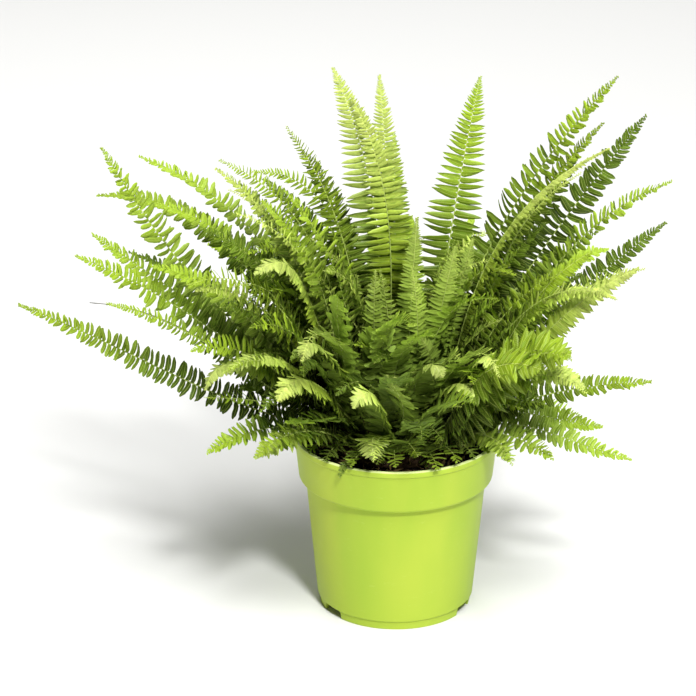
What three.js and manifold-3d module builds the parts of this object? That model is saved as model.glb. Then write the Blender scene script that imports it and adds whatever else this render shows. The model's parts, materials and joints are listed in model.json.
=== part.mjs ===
// A potted Boston fern: about fifty arching fronds that rise from one rhizome clump, in a
// plastic grow pot full of soil. Millimetres, +Z up, standing on Z = 0.
//
// Every frond is one thin closed strap: a bare stipe, then a blade with a keeled midrib.
// Fronds are set one after another, and each is turned, rolled and shifted a little, as a
// growing frond is, until it lies clear of all that stand already.

import * as THREE from "three";
import { mergeVertices } from "three/addons/utils/BufferGeometryUtils.js";
import Module from "manifold-3d";

const wasm = await Module();
wasm.setup();

// ---------------------------------------------------------------- driving dimensions

// Pot
const potHeight = 151;
const rimRadius = 85; // outside of the rolled lip
const wallTopRadius = 74.9; // outside of the wall, just under the collar
const wallBottomRadius = 65.4; // outside of the wall, just above the foot
const footRadius = 63; // outside of the foot, where it stands
const wallThickness = 1.9;
const collarHeight = 38; // collar and lip together
const lipHeight = 5;
const footHeight = 8; // from the stand surface to the underside of the floor
const floorThickness = 2.4;
const potSides = 48;
const notchWidth = 25; // the gaps between the three feet
const notchTurns = [-146, -26, 94]; // degrees about +Z, from +X
const drainHoleRadius = 4;
const drainHoleCircle = 38;
const drainHoleCount = 6;

// Soil and crown
const soilBelowRim = 11;
const soilCrownRise = 2; // the soil stands this much higher in the middle
const fitGap = 0.3; // between pieces that touch
const crownRadius = 50;
const crownHeight = 6;
const crownSides = 24;

// Fronds
const stipeHalfWidth = 1.2;
const ridgeHeight = 0.35; // the blade's upper side, above its edges
const keelDepth = 0.85; // the midrib's lower side, below them
const frondClearance = 0.4; // least distance kept between two fronds
const bladeFill = 0.85; // how much of the leaflets' reach the solid blade takes up
const plantScale = 1; // every frond's length and height above the crown
const frondStations = 11;

// Runners
const runnerRadius = 0.8;
const runnerSides = 6;
const runnerSteps = 18;
const runnerInset = 4; // from the crown's edge to where a runner leaves it

// ---------------------------------------------------------------- sizes worked out

const soilEdgeHeight = potHeight - soilBelowRim;
const soilTopHeight = soilEdgeHeight + soilCrownRise;
const crownBase = soilTopHeight + fitGap;
const crownTop = crownBase + crownHeight;
const floorTop = footHeight + floorThickness;
const collarFoot = potHeight - collarHeight;
const lipFoot = potHeight - lipHeight;
const collarRadius = rimRadius - 1.2; // just under the lip
const lipInnerRadius = rimRadius - 3.4;

const degrees = (angle) => (angle * Math.PI) / 180;
const up = new THREE.Vector3(0, 0, 1);

// ---------------------------------------------------------------- materials

function finish(color, roughness) {
  return new THREE.MeshStandardMaterial({ color, roughness, metalness: 0, side: THREE.DoubleSide });
}

const potPlastic = finish(0xb9d94f, 0.42);
const soilFinish = finish(0x2b2119, 0.95);
const crownFinish = finish(0x5a4326, 0.9);
const runnerFinish = finish(0x8d8a5c, 0.7);

function leafFinish(age) {
  const young = new THREE.Color(0xb4dc4a);
  const old = new THREE.Color(0x41691c);
  return finish(young.lerp(old, age), 0.5);
}

// ---------------------------------------------------------------- solids

function toSolid(geometry) {
  const plain = geometry.clone();
  plain.deleteAttribute("normal");
  plain.deleteAttribute("uv");
  const merged = mergeVertices(plain, 1e-4);
  return new wasm.Manifold(
    new wasm.Mesh({
      numProp: 3,
      vertProperties: Float32Array.from(merged.attributes.position.array),
      triVerts: Uint32Array.from(merged.index.array),
    })
  );
}

function toGeometry(solid) {
  const mesh = solid.getMesh();
  const geometry = new THREE.BufferGeometry();
  geometry.setAttribute("position", new THREE.BufferAttribute(new Float32Array(mesh.vertProperties), 3));
  geometry.setIndex(new THREE.BufferAttribute(new Uint32Array(mesh.triVerts), 1));
  return geometry;
}

// Turns an outline of [radius, height] points about the Z axis.
function turned(outline, sides) {
  const points = outline.map(([radius, height]) => new THREE.Vector2(radius, height));
  const geometry = new THREE.LatheGeometry(points, sides);
  geometry.rotateX(Math.PI / 2);
  return geometry;
}

// ---------------------------------------------------------------- pot and soil

// Outside of the pot from the foot up, with the rounded lower corner of the collar.
function potOutside() {
  return [
    [footRadius, 0],
    [footRadius + 1.6, 2.2],
    [wallBottomRadius - 0.9, footHeight - 1],
    [wallBottomRadius, footHeight + 0.4],
    [wallTopRadius, collarFoot - 1.2],
    [wallTopRadius + 1.2, collarFoot],
    [collarRadius - 5, collarFoot + 1.6],
    [collarRadius - 2.9, collarFoot + 5],
    [collarRadius - 1.8, collarFoot + 10],
    [collarRadius, lipFoot - 1],
    [rimRadius - 0.3, lipFoot + 0.6],
    [rimRadius, lipFoot + 1.9],
    [rimRadius, potHeight - 1.6],
    [rimRadius - 0.7, potHeight - 0.4],
    [rimRadius - 1.7, potHeight],
  ];
}

// Inside of the pot from the lip down to the floor.
function potInside() {
  return [
    [lipInnerRadius + 0.8, potHeight - 0.4],
    [lipInnerRadius, potHeight - 1.6],
    [collarRadius - wallThickness - 1.8, collarFoot + 10],
    [collarRadius - wallThickness - 3.4, collarFoot + 4],
    [wallTopRadius - wallThickness, collarFoot + 0.6],
    [wallBottomRadius - wallThickness, floorTop],
  ];
}

function makePot() {
  const outline = [
    [0, footHeight],
    [footRadius - wallThickness - 0.6, footHeight],
    [footRadius - wallThickness - 1.2, 0],
    ...potOutside(),
    ...potInside(),
    [0, floorTop],
  ];
  let solid = toSolid(turned(outline, potSides));
  for (const turn of notchTurns) {
    const notch = new THREE.BoxGeometry(footRadius, notchWidth, 2 * footHeight - 1);
    notch.translate(footRadius * 0.95, 0, 0);
    notch.rotateZ(degrees(turn));
    solid = solid.subtract(toSolid(notch));
  }
  for (let hole = 0; hole < drainHoleCount; hole += 1) {
    const angle = (2 * Math.PI * (hole + 0.5)) / drainHoleCount;
    const drill = new THREE.CylinderGeometry(drainHoleRadius, drainHoleRadius, 4 * floorThickness, 12);
    drill.rotateX(Math.PI / 2);
    drill.translate(
      drainHoleCircle * Math.cos(angle),
      drainHoleCircle * Math.sin(angle),
      footHeight + floorThickness / 2
    );
    solid = solid.subtract(toSolid(drill));
  }
  return toGeometry(solid);
}

// The root ball follows the inside of the pot, one gap away from it.
function makeSoil() {
  const inside = potInside();
  const lipInside = inside[1];
  const collarInside = inside[2];
  const share = (soilEdgeHeight - collarInside[1]) / (lipInside[1] - collarInside[1]);
  const edgeRadius = collarInside[0] + share * (lipInside[0] - collarInside[0]);
  const wallPoints = inside.slice(2).map(([radius, height]) => [radius - fitGap, height + fitGap]);
  const outline = [
    [0, floorTop + fitGap],
    ...wallPoints.reverse(),
    [edgeRadius - fitGap, soilEdgeHeight],
    [crownRadius + 8, soilTopHeight],
    [0, soilTopHeight],
  ];
  return turned(outline, potSides);
}

function makeCrown() {
  const outline = [
    [0, crownBase],
    [crownRadius + 6, crownBase],
    [crownRadius + 4, crownBase + crownHeight * 0.5],
    [crownRadius, crownTop],
    [0, crownTop],
  ];
  return turned(outline, crownSides);
}

// ---------------------------------------------------------------- clearance between plant pieces

// Each placed piece is kept as a list of short links, with each link's corners and box.
const standing = [];

function segmentMeetsTriangle(start, end, a, b, c) {
  const ray = end.clone().sub(start);
  const edge1 = b.clone().sub(a);
  const edge2 = c.clone().sub(a);
  const h = ray.clone().cross(edge2);
  const det = edge1.dot(h);
  if (Math.abs(det) < 1e-12) {
    return false;
  }
  const s = start.clone().sub(a);
  const u = s.dot(h) / det;
  if (u < 0 || u > 1) {
    return false;
  }
  const q = s.cross(edge1);
  const v = ray.dot(q) / det;
  if (v < 0 || u + v > 1) {
    return false;
  }
  const t = edge2.dot(q) / det;
  return t >= 0 && t <= 1;
}

// The sides and edges of one link between two rings of corners.
function linkSurface(lower, upper) {
  const triangles = [];
  const segments = [];
  const count = lower.length;
  for (let corner = 0; corner < count; corner += 1) {
    const next = (corner + 1) % count;
    triangles.push([lower[corner], lower[next], upper[next]]);
    triangles.push([lower[corner], upper[next], upper[corner]]);
    segments.push([lower[corner], lower[next]]);
    segments.push([lower[corner], upper[corner]]);
    segments.push([lower[corner], upper[next]]);
    segments.push([upper[corner], upper[next]]);
  }
  return { triangles, segments, box: new THREE.Box3().setFromPoints([...lower, ...upper]) };
}

function toLinks(rings) {
  const links = [];
  for (let ring = 0; ring + 1 < rings.length; ring += 1) {
    links.push(linkSurface(rings[ring], rings[ring + 1]));
  }
  const box = new THREE.Box3();
  links.forEach((link) => box.union(link.box));
  return { links, box };
}

function linksMeet(one, other) {
  if (!one.box.intersectsBox(other.box)) {
    return false;
  }
  const pierces = (a, b) =>
    a.segments.some(([start, end]) =>
      b.triangles.some(([p, q, r]) => segmentMeetsTriangle(start, end, p, q, r))
    );
  return pierces(one, other) || pierces(other, one);
}

function piecesMeet(one, other) {
  if (!one.box.intersectsBox(other.box)) {
    return false;
  }
  return one.links.some((link) => other.links.some((placed) => linksMeet(link, placed)));
}

// Outside the pot's mouth, a piece stays above the lip or clear of the wall.
function clearOfPot(rings) {
  const halfway = rings.slice(1).flatMap((ring, index) =>
    ring.map((point, corner) => point.clone().lerp(rings[index][corner], 0.5))
  );
  return [...rings.flat(), ...halfway].every((point) => {
    const radius = Math.hypot(point.x, point.y);
    const insideMouth = radius < lipInnerRadius - 4;
    const floor = insideMouth ? soilTopHeight + 1 : potHeight + 1.5;
    return point.z > floor || radius > rimRadius + 2;
  });
}

// ---------------------------------------------------------------- fronds

// Root and midrib of a frond, as a curve in the plane that it leans in, bowed sideways.
function midribCurve(frond) {
  const out = new THREE.Vector3(Math.cos(degrees(frond.azimuth)), Math.sin(degrees(frond.azimuth)), 0);
  const aside = new THREE.Vector3().crossVectors(up, out);
  const root = out.clone().multiplyScalar(frond.root);
  root.z = crownTop + fitGap + (frond.lift ?? 0);
  const tip = root.clone().addScaledVector(out, frond.reach * plantScale);
  tip.z = crownTop + (frond.tip - crownTop) * plantScale;
  const span = root.distanceTo(tip);
  const launch = degrees(frond.launch);
  const landing = degrees(frond.landing);
  const bow = span * (frond.bow ?? 0);
  const first = root
    .clone()
    .addScaledVector(out, 0.4 * span * Math.cos(launch))
    .addScaledVector(up, 0.4 * span * Math.sin(launch))
    .addScaledVector(aside, bow);
  const second = tip
    .clone()
    .addScaledVector(out, -0.36 * span * Math.cos(landing))
    .addScaledVector(up, -0.36 * span * Math.sin(landing))
    .addScaledVector(aside, bow);
  return { curve: new THREE.CubicBezierCurve3(root, first, second, tip), aside };
}

// Half-width of the blade at a share of the frond's length: a bare stipe, a quick widening,
// a long even stretch and a drawn-out tip.
function bladeProfile(share) {
  const widening = THREE.MathUtils.smoothstep(share, 0.1, 0.34);
  const taper = Math.pow(Math.max(0, 1 - Math.pow(share, 2.6)), 0.85);
  return widening * taper;
}

// Shares of the length where the strap has a ring, closer together where its width changes.
function stationShares() {
  const bladeStart = 0.12;
  const shares = [0];
  for (let station = 0; station < frondStations - 1; station += 1) {
    shares.push(bladeStart + (1 - bladeStart) * (station / (frondStations - 2)));
  }
  return shares;
}

// Rings of four corners: left edge, ridge, right edge, keel.
function frondRings(frond, fat) {
  const { curve, aside } = midribCurve(frond);
  return stationShares().map((share, station) => {
    const centre = curve.getPointAt(share);
    const along = curve.getTangentAt(share);
    const side = aside.clone().addScaledVector(along, -aside.dot(along)).normalize();
    side.applyAxisAngle(along, degrees(frond.roll * THREE.MathUtils.smoothstep(share, 0, 0.35)));
    const face = new THREE.Vector3().crossVectors(along, side);
    if (station === 0) {
      side.copy(aside);
      face.crossVectors(up, aside);
    }
    const blade = frond.blade * bladeFill * bladeProfile(share);
    const tipHalfWidth = 0.5;
    const base = THREE.MathUtils.lerp(stipeHalfWidth, tipHalfWidth, share);
    const halfWidth = Math.max(blade, base) + fat;
    const thin = THREE.MathUtils.lerp(1.25, 0.7, share);
    const corners = [
      [side, halfWidth],
      [face, ridgeHeight * thin + fat],
      [side, -halfWidth],
      [face, -keelDepth * thin - fat],
    ];
    return corners.map(([direction, distance]) => centre.clone().addScaledVector(direction, distance));
  });
}

// A closed strap through rings with the same number of corners.
function strapGeometry(rings) {
  const corners = rings[0].length;
  const positions = rings.flat().flatMap((point) => point.toArray());
  const index = [];
  for (let ring = 0; ring + 1 < rings.length; ring += 1) {
    for (let corner = 0; corner < corners; corner += 1) {
      const here = ring * corners + corner;
      const next = ring * corners + ((corner + 1) % corners);
      index.push(here, next, next + corners, here, next + corners, here + corners);
    }
  }
  const last = (rings.length - 1) * corners;
  index.push(0, 3, 2, 0, 2, 1);
  index.push(last, last + 1, last + 2, last, last + 2, last + 3);
  const geometry = new THREE.BufferGeometry();
  geometry.setAttribute("position", new THREE.Float32BufferAttribute(positions, 3));
  geometry.setIndex(index);
  return outwards(geometry);
}

function outwards(geometry) {
  const position = geometry.attributes.position;
  const index = Array.from(geometry.index.array);
  const corner = (at) => new THREE.Vector3().fromBufferAttribute(position, index[at]);
  let volume = 0;
  for (let face = 0; face < index.length; face += 3) {
    volume += corner(face).dot(corner(face + 1).cross(corner(face + 2)));
  }
  if (volume < 0) {
    for (let face = 0; face < index.length; face += 3) {
      [index[face], index[face + 1]] = [index[face + 1], index[face]];
    }
    geometry.setIndex(index);
  }
  return geometry;
}

// The nth number of an even, repeatable spread over -1..1.
function spread(n, seed) {
  return 2 * ((n * seed) % 1) - 1;
}

const mostTries = 900;

// Tries the frond as it was meant, then turned, rolled and lifted by growing amounts.
function growFrond(wanted) {
  for (let attempt = 0; attempt < mostTries; attempt += 1) {
    const frond = {
      ...wanted,
      azimuth: wanted.azimuth + 0.035 * attempt * spread(attempt, 0.6180339),
      root: Math.min(crownRadius - 3, Math.max(4, wanted.root + 0.1 * attempt * spread(attempt, 0.2360679))),
      roll: wanted.roll + 0.12 * attempt * spread(attempt, 0.4142135),
      tip: wanted.tip + 0.07 * attempt * spread(attempt, 0.7320508),
      bow: (wanted.bow ?? 0) + 0.0003 * attempt * spread(attempt, 0.3166247),
      launch: wanted.launch + 0.02 * attempt * spread(attempt, 0.8284271),
    };
    const fatRings = frondRings(frond, frondClearance);
    if (!clearOfPot(fatRings)) {
      continue;
    }
    const fatPiece = toLinks(fatRings);
    if (!standing.some((placed) => piecesMeet(fatPiece, placed))) {
      const rings = frondRings(frond, 0);
      standing.push(toLinks(rings));
      return { rings, frond, attempt };
    }
  }
  throw new Error(`no room for the frond at azimuth ${wanted.azimuth}`);
}

// ---------------------------------------------------------------- the fronds, one row each

// lean: the way the frond leans, in degrees about +Z from +X. reach: from its root to its tip,
// level. tip: the tip's height over the stand surface. launch, landing: the midrib's slope at
// the root and at the tip. roll: the blade's turn about its midrib. half: the leaflets' reach.
// root: how far out on the crown it starts. age: 0 for a new pale frond, 1 for an old dark one.
const columns = ["lean", "reach", "tip", "launch", "landing", "roll", "half", "root", "age"];

const leftFronds = [
  [184, 262, 271, 16, 24, -60, 19, 44, 0.7],
  [186, 223, 315, 40, 25, -50, 17, 36, 0.6],
  [174, 216, 315, 42, 35, -45, 17, 34, 0.6],
  [166, 224, 336, 55, -10, -35, 14, 30, 0.5],
  [180, 207, 396, 40, 62, -55, 18, 28, 0.5],
  [164, 196, 370, 66, 15, -20, 15, 24, 0.6],
  [174, 174, 345, 58, 5, -30, 14, 26, 0.4],
  [188, 123, 392, 75, 25, -60, 15, 20, 0.15],
  [153, 107, 353, 78, 30, -50, 15, 16, 0.9],
  [166, 107, 367, 84, -8, -60, 14, 14, 0.25],
  [193, 73, 420, 82, 55, -75, 16, 18, 0.2],
  [197, 198, 290, 36, 18, -60, 12, 42, 0.6],
  [159, 202, 278, 45, 10, -15, 14, 38, 0.8],
  [210, 156, 314, 60, -12, -45, 17, 34, 0.05],
  [213, 126, 239, 50, -25, -30, 13, 38, 0.1],
  [203, 123, 159, 40, -25, -30, 15, 44, 0.35],
];

const middleFronds = [
  [150, 47, 454, 90, 62, -60, 19, 16, 0.45],
  [107, 42, 443, 88, 72, -17, 15, 8, 0.3],
  [155, 35, 434, 88, 60, -65, 15, 6, 0.2],
  [92, 42, 389, 88, 66, 0, 13, 22, 0.3],
  [42, 60, 438, 80, 74, 48, 19, 31, 0.65],
  [288, 25, 353, 86, 80, -18, 10, 22, 0],
  [312, 39, 331, 82, 75, -42, 11, 28, 0.05],
  [337, 39, 329, 84, 76, -60, 11, 26, 0.1],
];

const frontFronds = [
  [239, 120, 262, 82, -75, -10, 14, 26, 0.05],
  [224, 114, 174, 42, -30, -30, 14, 44, 0.3],
  [259, 62, 167, 72, -70, 0, 11, 40, 0],
  [304, 109, 245, 74, -65, 10, 14, 30, 0],
  [317, 144, 264, 42, -6, 35, 22, 38, 0.3],
];

const rightFronds = [
  [354, 152, 460, 78, 50, 8, 14, 20, 0.4],
  [10, 146, 408, 66, 45, 45, 14, 22, 0.55],
  [25, 149, 378, 68, 60, 50, 17, 18, 0.95],
  [15, 177, 410, 64, 50, 50, 17, 30, 0.75],
  [352, 184, 378, 55, 24, 30, 16, 34, 0.45],
  [14, 192, 315, 46, 34, 25, 15, 38, 0.85],
  [342, 165, 316, 46, 14, 50, 14, 38, 0.15],
  [332, 156, 300, 62, -18, 20, 14, 36, 0.2],
  [326, 136, 225, 50, -35, 30, 13, 42, 0.1],
  [357, 165, 200, 34, 5, 45, 12, 44, 0.6],
  [353, 150, 136, 34, -10, 40, 12, 45, 0.35],
  [7, 130, 146, 38, -8, 45, 13, 45, 0.5],
  [335, 95, 151, 42, -30, 35, 13, 45, 0.4],
];

const backFronds = [
  [36, 190, 264, 52, -6, 30, 17, 38, 0.6],
  [50, 150, 178, 44, -34, 20, 15, 43, 0.5],
  [58, 105, 302, 76, 20, 25, 15, 22, 0.4],
  [66, 205, 242, 54, -14, 10, 17, 36, 0.7],
  [78, 158, 172, 44, -36, 0, 15, 43, 0.3],
  [84, 110, 294, 78, 16, -10, 15, 26, 0.5],
  [93, 212, 238, 52, -10, -8, 18, 36, 0.6],
  [104, 148, 168, 42, -40, -10, 14, 43, 0.4],
  [113, 104, 308, 76, 24, -20, 14, 24, 0.2],
  [121, 208, 248, 54, -12, -16, 17, 36, 0.8],
  [131, 150, 182, 44, -32, -20, 15, 43, 0.5],
  [141, 172, 270, 58, -4, -26, 16, 34, 0.6],
  [148, 140, 194, 46, -28, -28, 14, 43, 0.4],
];

const frondGroups = {
  left: leftFronds,
  middle: middleFronds,
  front: frontFronds,
  right: rightFronds,
  back: backFronds,
};

function readRow(row) {
  const frond = Object.fromEntries(columns.map((column, place) => [column, row[place]]));
  return { ...frond, azimuth: frond.lean, blade: frond.half };
}

// ---------------------------------------------------------------- runners

// Thin leafless stolons that leave the crown and hang out between the fronds.
const runnerRoot = crownRadius - runnerInset;
const runnerPlans = [
  { name: "runner_left", lean: 176, reach: 206, tip: 258, launch: 30, landing: 2, root: runnerRoot },
  { name: "runner_back", lean: 70, reach: 150, tip: 96, launch: 36, landing: -62, root: runnerRoot },
];

function runnerCurve(plan) {
  const lift = runnerRadius * Math.cos(degrees(plan.launch));
  return midribCurve({ ...plan, azimuth: plan.lean, lift });
}

function makeRunner(plan) {
  const { curve } = runnerCurve(plan);
  const section = new THREE.Shape();
  for (let side = 0; side <= runnerSides; side += 1) {
    const turn = (2 * Math.PI * side) / runnerSides;
    const x = runnerRadius * Math.cos(turn);
    const y = runnerRadius * Math.sin(turn);
    if (side === 0) {
      section.moveTo(x, y);
    } else {
      section.lineTo(x, y);
    }
  }
  return new THREE.ExtrudeGeometry(section, { steps: runnerSteps, extrudePath: curve, curveSegments: 1 });
}

// The runner's outline as rings, for the clearance test only.
function runnerRings(plan) {
  const { curve, aside } = runnerCurve(plan);
  const reach = 1.3 * runnerRadius;
  const rings = [];
  for (let step = 0; step <= runnerSteps; step += 1) {
    const centre = curve.getPointAt(step / runnerSteps);
    const along = curve.getTangentAt(step / runnerSteps);
    const face = new THREE.Vector3().crossVectors(along, aside).normalize();
    const corners = [aside, face, aside.clone().negate(), face.clone().negate()];
    rings.push(corners.map((direction) => centre.clone().addScaledVector(direction, reach)));
  }
  return rings;
}

// ---------------------------------------------------------------- the whole plant

const plant = new THREE.Group();

function addPiece(name, geometry, material) {
  const piece = new THREE.Mesh(geometry, material);
  piece.name = name;
  plant.add(piece);
}

addPiece("pot", makePot(), potPlastic);
addPiece("soil", makeSoil(), soilFinish);
addPiece("crown", makeCrown(), crownFinish);

for (const plan of runnerPlans) {
  standing.push(toLinks(runnerRings(plan)));
  addPiece(plan.name, makeRunner(plan), runnerFinish);
}

for (const [side, rows] of Object.entries(frondGroups)) {
  rows.forEach((row, place) => {
    const { rings, frond } = growFrond(readRow(row));
    const name = `frond_${side}_${String(place + 1).padStart(2, "0")}`;
    addPiece(name, strapGeometry(rings), leafFinish(frond.age));
  });
}

// The origin is under the middle of the plant's box, on the stand surface.
plant.updateMatrixWorld(true);
const outline = new THREE.Box3().setFromObject(plant);
const middle = outline.getCenter(new THREE.Vector3());
plant.position.set(-middle.x, -middle.y, 0);

export default plant;
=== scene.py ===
import json
import math
import random

import bmesh
import bpy
from bpy.props import FloatProperty, FloatVectorProperty, IntProperty, PointerProperty
from mathutils import Matrix, Quaternion, Vector, noise

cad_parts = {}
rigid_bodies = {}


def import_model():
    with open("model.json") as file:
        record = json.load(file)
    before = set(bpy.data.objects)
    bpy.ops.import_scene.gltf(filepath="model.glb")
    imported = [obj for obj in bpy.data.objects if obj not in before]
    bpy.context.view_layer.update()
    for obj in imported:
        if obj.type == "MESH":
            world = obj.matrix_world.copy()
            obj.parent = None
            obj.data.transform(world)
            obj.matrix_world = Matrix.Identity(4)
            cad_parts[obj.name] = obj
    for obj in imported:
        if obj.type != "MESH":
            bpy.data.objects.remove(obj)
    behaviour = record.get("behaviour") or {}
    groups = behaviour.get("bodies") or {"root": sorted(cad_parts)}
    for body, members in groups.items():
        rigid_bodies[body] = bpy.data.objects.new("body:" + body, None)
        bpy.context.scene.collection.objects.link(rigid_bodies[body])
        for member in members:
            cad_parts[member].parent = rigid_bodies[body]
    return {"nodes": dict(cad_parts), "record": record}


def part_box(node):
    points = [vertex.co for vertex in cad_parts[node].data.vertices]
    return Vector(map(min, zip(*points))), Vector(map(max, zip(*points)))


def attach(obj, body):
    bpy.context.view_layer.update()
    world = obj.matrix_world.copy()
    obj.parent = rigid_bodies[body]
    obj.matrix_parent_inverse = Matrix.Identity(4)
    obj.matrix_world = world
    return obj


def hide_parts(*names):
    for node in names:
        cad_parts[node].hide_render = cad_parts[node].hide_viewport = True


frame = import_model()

bl_info = {
    "name": "Potted fern",
    "version": (1, 0, 0),
    "blender": (4, 5, 0),
    "location": "3D View > Sidebar > Fern",
    "description": "Grows a Boston fern in its plastic pot around the packed model",
    "category": "Object",
}

# ---------------------------------------------------------------- places taken from the frame

BODY = "root"
MM = 0.001
UP = Vector((0, 0, 1))

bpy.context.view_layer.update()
POT_LOW, POT_HIGH = (Vector(corner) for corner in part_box("pot"))
SOIL_HIGH = Vector(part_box("soil")[1])
CROWN_LOW, CROWN_HIGH = (Vector(corner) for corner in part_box("crown"))

POT_AXIS = Vector(((POT_LOW.x + POT_HIGH.x) / 2, (POT_LOW.y + POT_HIGH.y) / 2, 0))
POT_HEIGHT = POT_HIGH.z
RIM_RADIUS = (POT_HIGH.x - POT_LOW.x) / 2
CROWN_RADIUS = (CROWN_HIGH.x - CROWN_LOW.x) / 2
CROWN_TOP = POT_AXIS + UP * CROWN_HIGH.z

SLOT_OF = {part["node"]: part["material_slot"] for part in frame["record"]["subparts"]}
FROND_NODES = sorted(name for name in frame["nodes"] if name.startswith("frond_"))
RUNNER_NODES = sorted(name for name in frame["nodes"] if name.startswith("runner_"))


def tint(code):
    """Linear colour of a 0xRRGGBB screen colour."""
    shares = [(code >> shift & 255) / 255 for shift in (16, 8, 0)]
    return tuple(s / 12.92 if s <= 0.04045 else ((s + 0.055) / 1.055) ** 2.4 for s in shares)


def colour(name, code, description):
    return FloatVectorProperty(
        name=name, description=description, subtype="COLOR", size=3, min=0, max=1, default=tint(code)
    )


def length(name, millimetres, description):
    return FloatProperty(
        name=name, description=description, subtype="DISTANCE", unit="LENGTH",
        default=millimetres * MM, min=0,
    )


def turn(name, degrees, description):
    return FloatProperty(
        name=name, description=description, subtype="ANGLE", unit="ROTATION",
        default=math.radians(degrees),
    )


# ---------------------------------------------------------------- what a user would change


class PotSettings(bpy.types.PropertyGroup):
    wall: length("Wall", 1.9, "Thickness of the moulded wall")
    wall_top: length("Wall top radius", 74.9, "Outside of the wall just under the collar")
    wall_bottom: length("Wall bottom radius", 65.4, "Outside of the wall just above the foot")
    foot: length("Foot radius", 63.2, "Outside of the foot, where it stands")
    foot_height: length("Foot height", 8, "From the stand surface to the underside of the floor")
    floor: length("Floor", 2.4, "Thickness of the raised floor")
    collar: length("Collar height", 38, "Collar and lip together")
    lip: length("Lip height", 5, "Height of the thick rounded lip")
    notch: length("Notch width", 25, "Width of the three gaps between the feet")
    drain_hole: length("Drain hole radius", 4, "Radius of the holes in the floor")
    drain_circle: length("Drain hole circle", 38, "Radius of the circle that the holes lie on")
    sides: IntProperty(name="Sides", description="Facets round the pot", default=144, min=12)
    plastic: colour("Plastic", 0xB2C343, "Colour of the pot")
    # the deep plastic colour also serves as painted shade over the lower wall
    shade: colour("Deep plastic", 0x9EBB3B, "Colour where the plastic is thickest")


class SoilSettings(bpy.types.PropertyGroup):
    lumps: length("Lumps", 2.4, "Height of the lumps in the soil's surface")
    spacing: length("Crumb spacing", 1.9, "Least distance between two crumbs")
    crumb: length("Crumb size", 2.2, "Size of the usual crumb")
    seed: IntProperty(name="Seed", description="Changes where the crumbs lie", default=7, min=0)
    dark: colour("Wet soil", 0x130E0A, "Colour of the soil in its hollows")
    light: colour("Dry soil", 0x30251A, "Colour of the soil on its crumbs")
    straw: colour("Straw", 0xA98F5E, "Colour of dead leaflets and fibres")


class CrownSettings(bpy.types.PropertyGroup):
    scale: length("Scale length", 6, "Length of the papery scales on the rhizome")
    spacing: length("Scale spacing", 2.6, "Least distance between two scales")
    seed: IntProperty(name="Seed", description="Changes where the scales lie", default=11, min=0)
    bark: colour("Rhizome", 0x4A3720, "Colour of the rhizome")
    scales: colour("Scales", 0x8A6A3C, "Colour of the papery scales")


class FrondSettings(bpy.types.PropertyGroup):
    stalk: length("Stalk radius", 0.95, "Radius of the stalk where it leaves the crown")
    least_width: length("Least width", 3.0, "Width scale of a leaflet of no length")
    seed: IntProperty(name="Seed", description="Changes how leaflets differ", default=3, min=0)
    young: colour("Young leaf", 0xB2D224, "Colour of new fronds")
    mature: colour("Mature leaf", 0x688A0C, "Colour of full-grown fronds")
    # painted shade: a darker copy of the mature colour, for fronds away from the light
    deep: colour("Deep leaf", 0x527408, "Colour of full-grown fronds away from the light")
    old: colour("Old leaf", 0x365400, "Colour of the oldest fronds")
    shade: colour("Leaf in shade", 0x223800, "Colour deep among the stalks")
    tip: colour("Leaf tip", 0xE2F07C, "Colour towards a frond's tip")
    pale: colour("Pale tip", 0xD8E87C, "Colour of the newest tips, which hang")
    under: colour("Leaf underside", 0x86A634, "Colour of the underside")
    stalk_green: colour("Stalk", 0xA9BE5C, "Colour of the stalk along the blade")
    stalk_brown: colour("Stalk base", 0x6A5128, "Colour of the stalk near the crown")


def factor(name, default, description, least=0.0):
    return FloatProperty(name=name, description=description, default=default, min=least)


def leaflet_habit(name, pitch, growth, width, sweep, fold, twist, uneven, taper, breadth):
    """A settings class for how one kind of frond holds its leaflets."""
    return type(name, (bpy.types.PropertyGroup,), {"__annotations__": {
        "pitch": length("Least pitch", pitch, "Distance between leaflets of no length, on one side"),
        "growth": factor("Pitch growth", growth, "Extra pitch for a leaflet's length"),
        "width": factor("Width", width, "Leaflets' width against the usual"),
        "sweep": turn("Sweep", sweep, "How far leaflets point towards the frond's tip"),
        "fold": turn("Fold", fold, "How far leaflets rise out of the blade's plane"),
        "twist": turn("Twist", twist, "How far leaflets turn about their own length"),
        "uneven": turn("Unevenness", uneven, "How far leaflets differ from one another"),
        "taper": factor("Taper", taper, "How late the blade narrows", least=1.0),
        "breadth": factor("Breadth", breadth, "Leaflets' reach against the midrib's own", least=0.1),
    }})


UprightHabit = leaflet_habit("UprightHabit", 1.0, 0.21, 0.95, 0, 6, 14, 6, 3.0, 1.7)
MatureHabit = leaflet_habit("MatureHabit", 1.2, 0.25, 1.22, 8, 16, 26, 15, 4.4, 1.15)
YoungHabit = leaflet_habit("YoungHabit", 1.5, 0.23, 0.86, 8, 8, 28, 17, 3.8, 1.28)
DroopingHabit = leaflet_habit("DroopingHabit", 0.7, 0.19, 1.3, 6, -16, 8, 7, 7.0, 1.25)


class RunnerSettings(bpy.types.PropertyGroup):
    radius: length("Radius", 0.75, "Radius of a runner where it leaves the crown")
    skin: colour("Runner", 0x5C5A40, "Colour of the wiry runners")


class StageSettings(bpy.types.PropertyGroup):
    distance: length("Camera distance", 2200, "From the camera to what it looks at")
    elevation: turn("Camera elevation", 21.3, "How far the camera looks down")
    lens: FloatProperty(name="Lens", description="Focal length in millimetres", default=139.2, min=1)
    aim_height: length("Aim height", 225, "Height of what the camera looks at")
    aim_left: length("Aim left", 39.7, "How far left of the pot's axis the camera looks")
    floor: colour("Floor", 0xDADAD8, "Colour of the floor")


# ---------------------------------------------------------------- node trees


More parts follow.
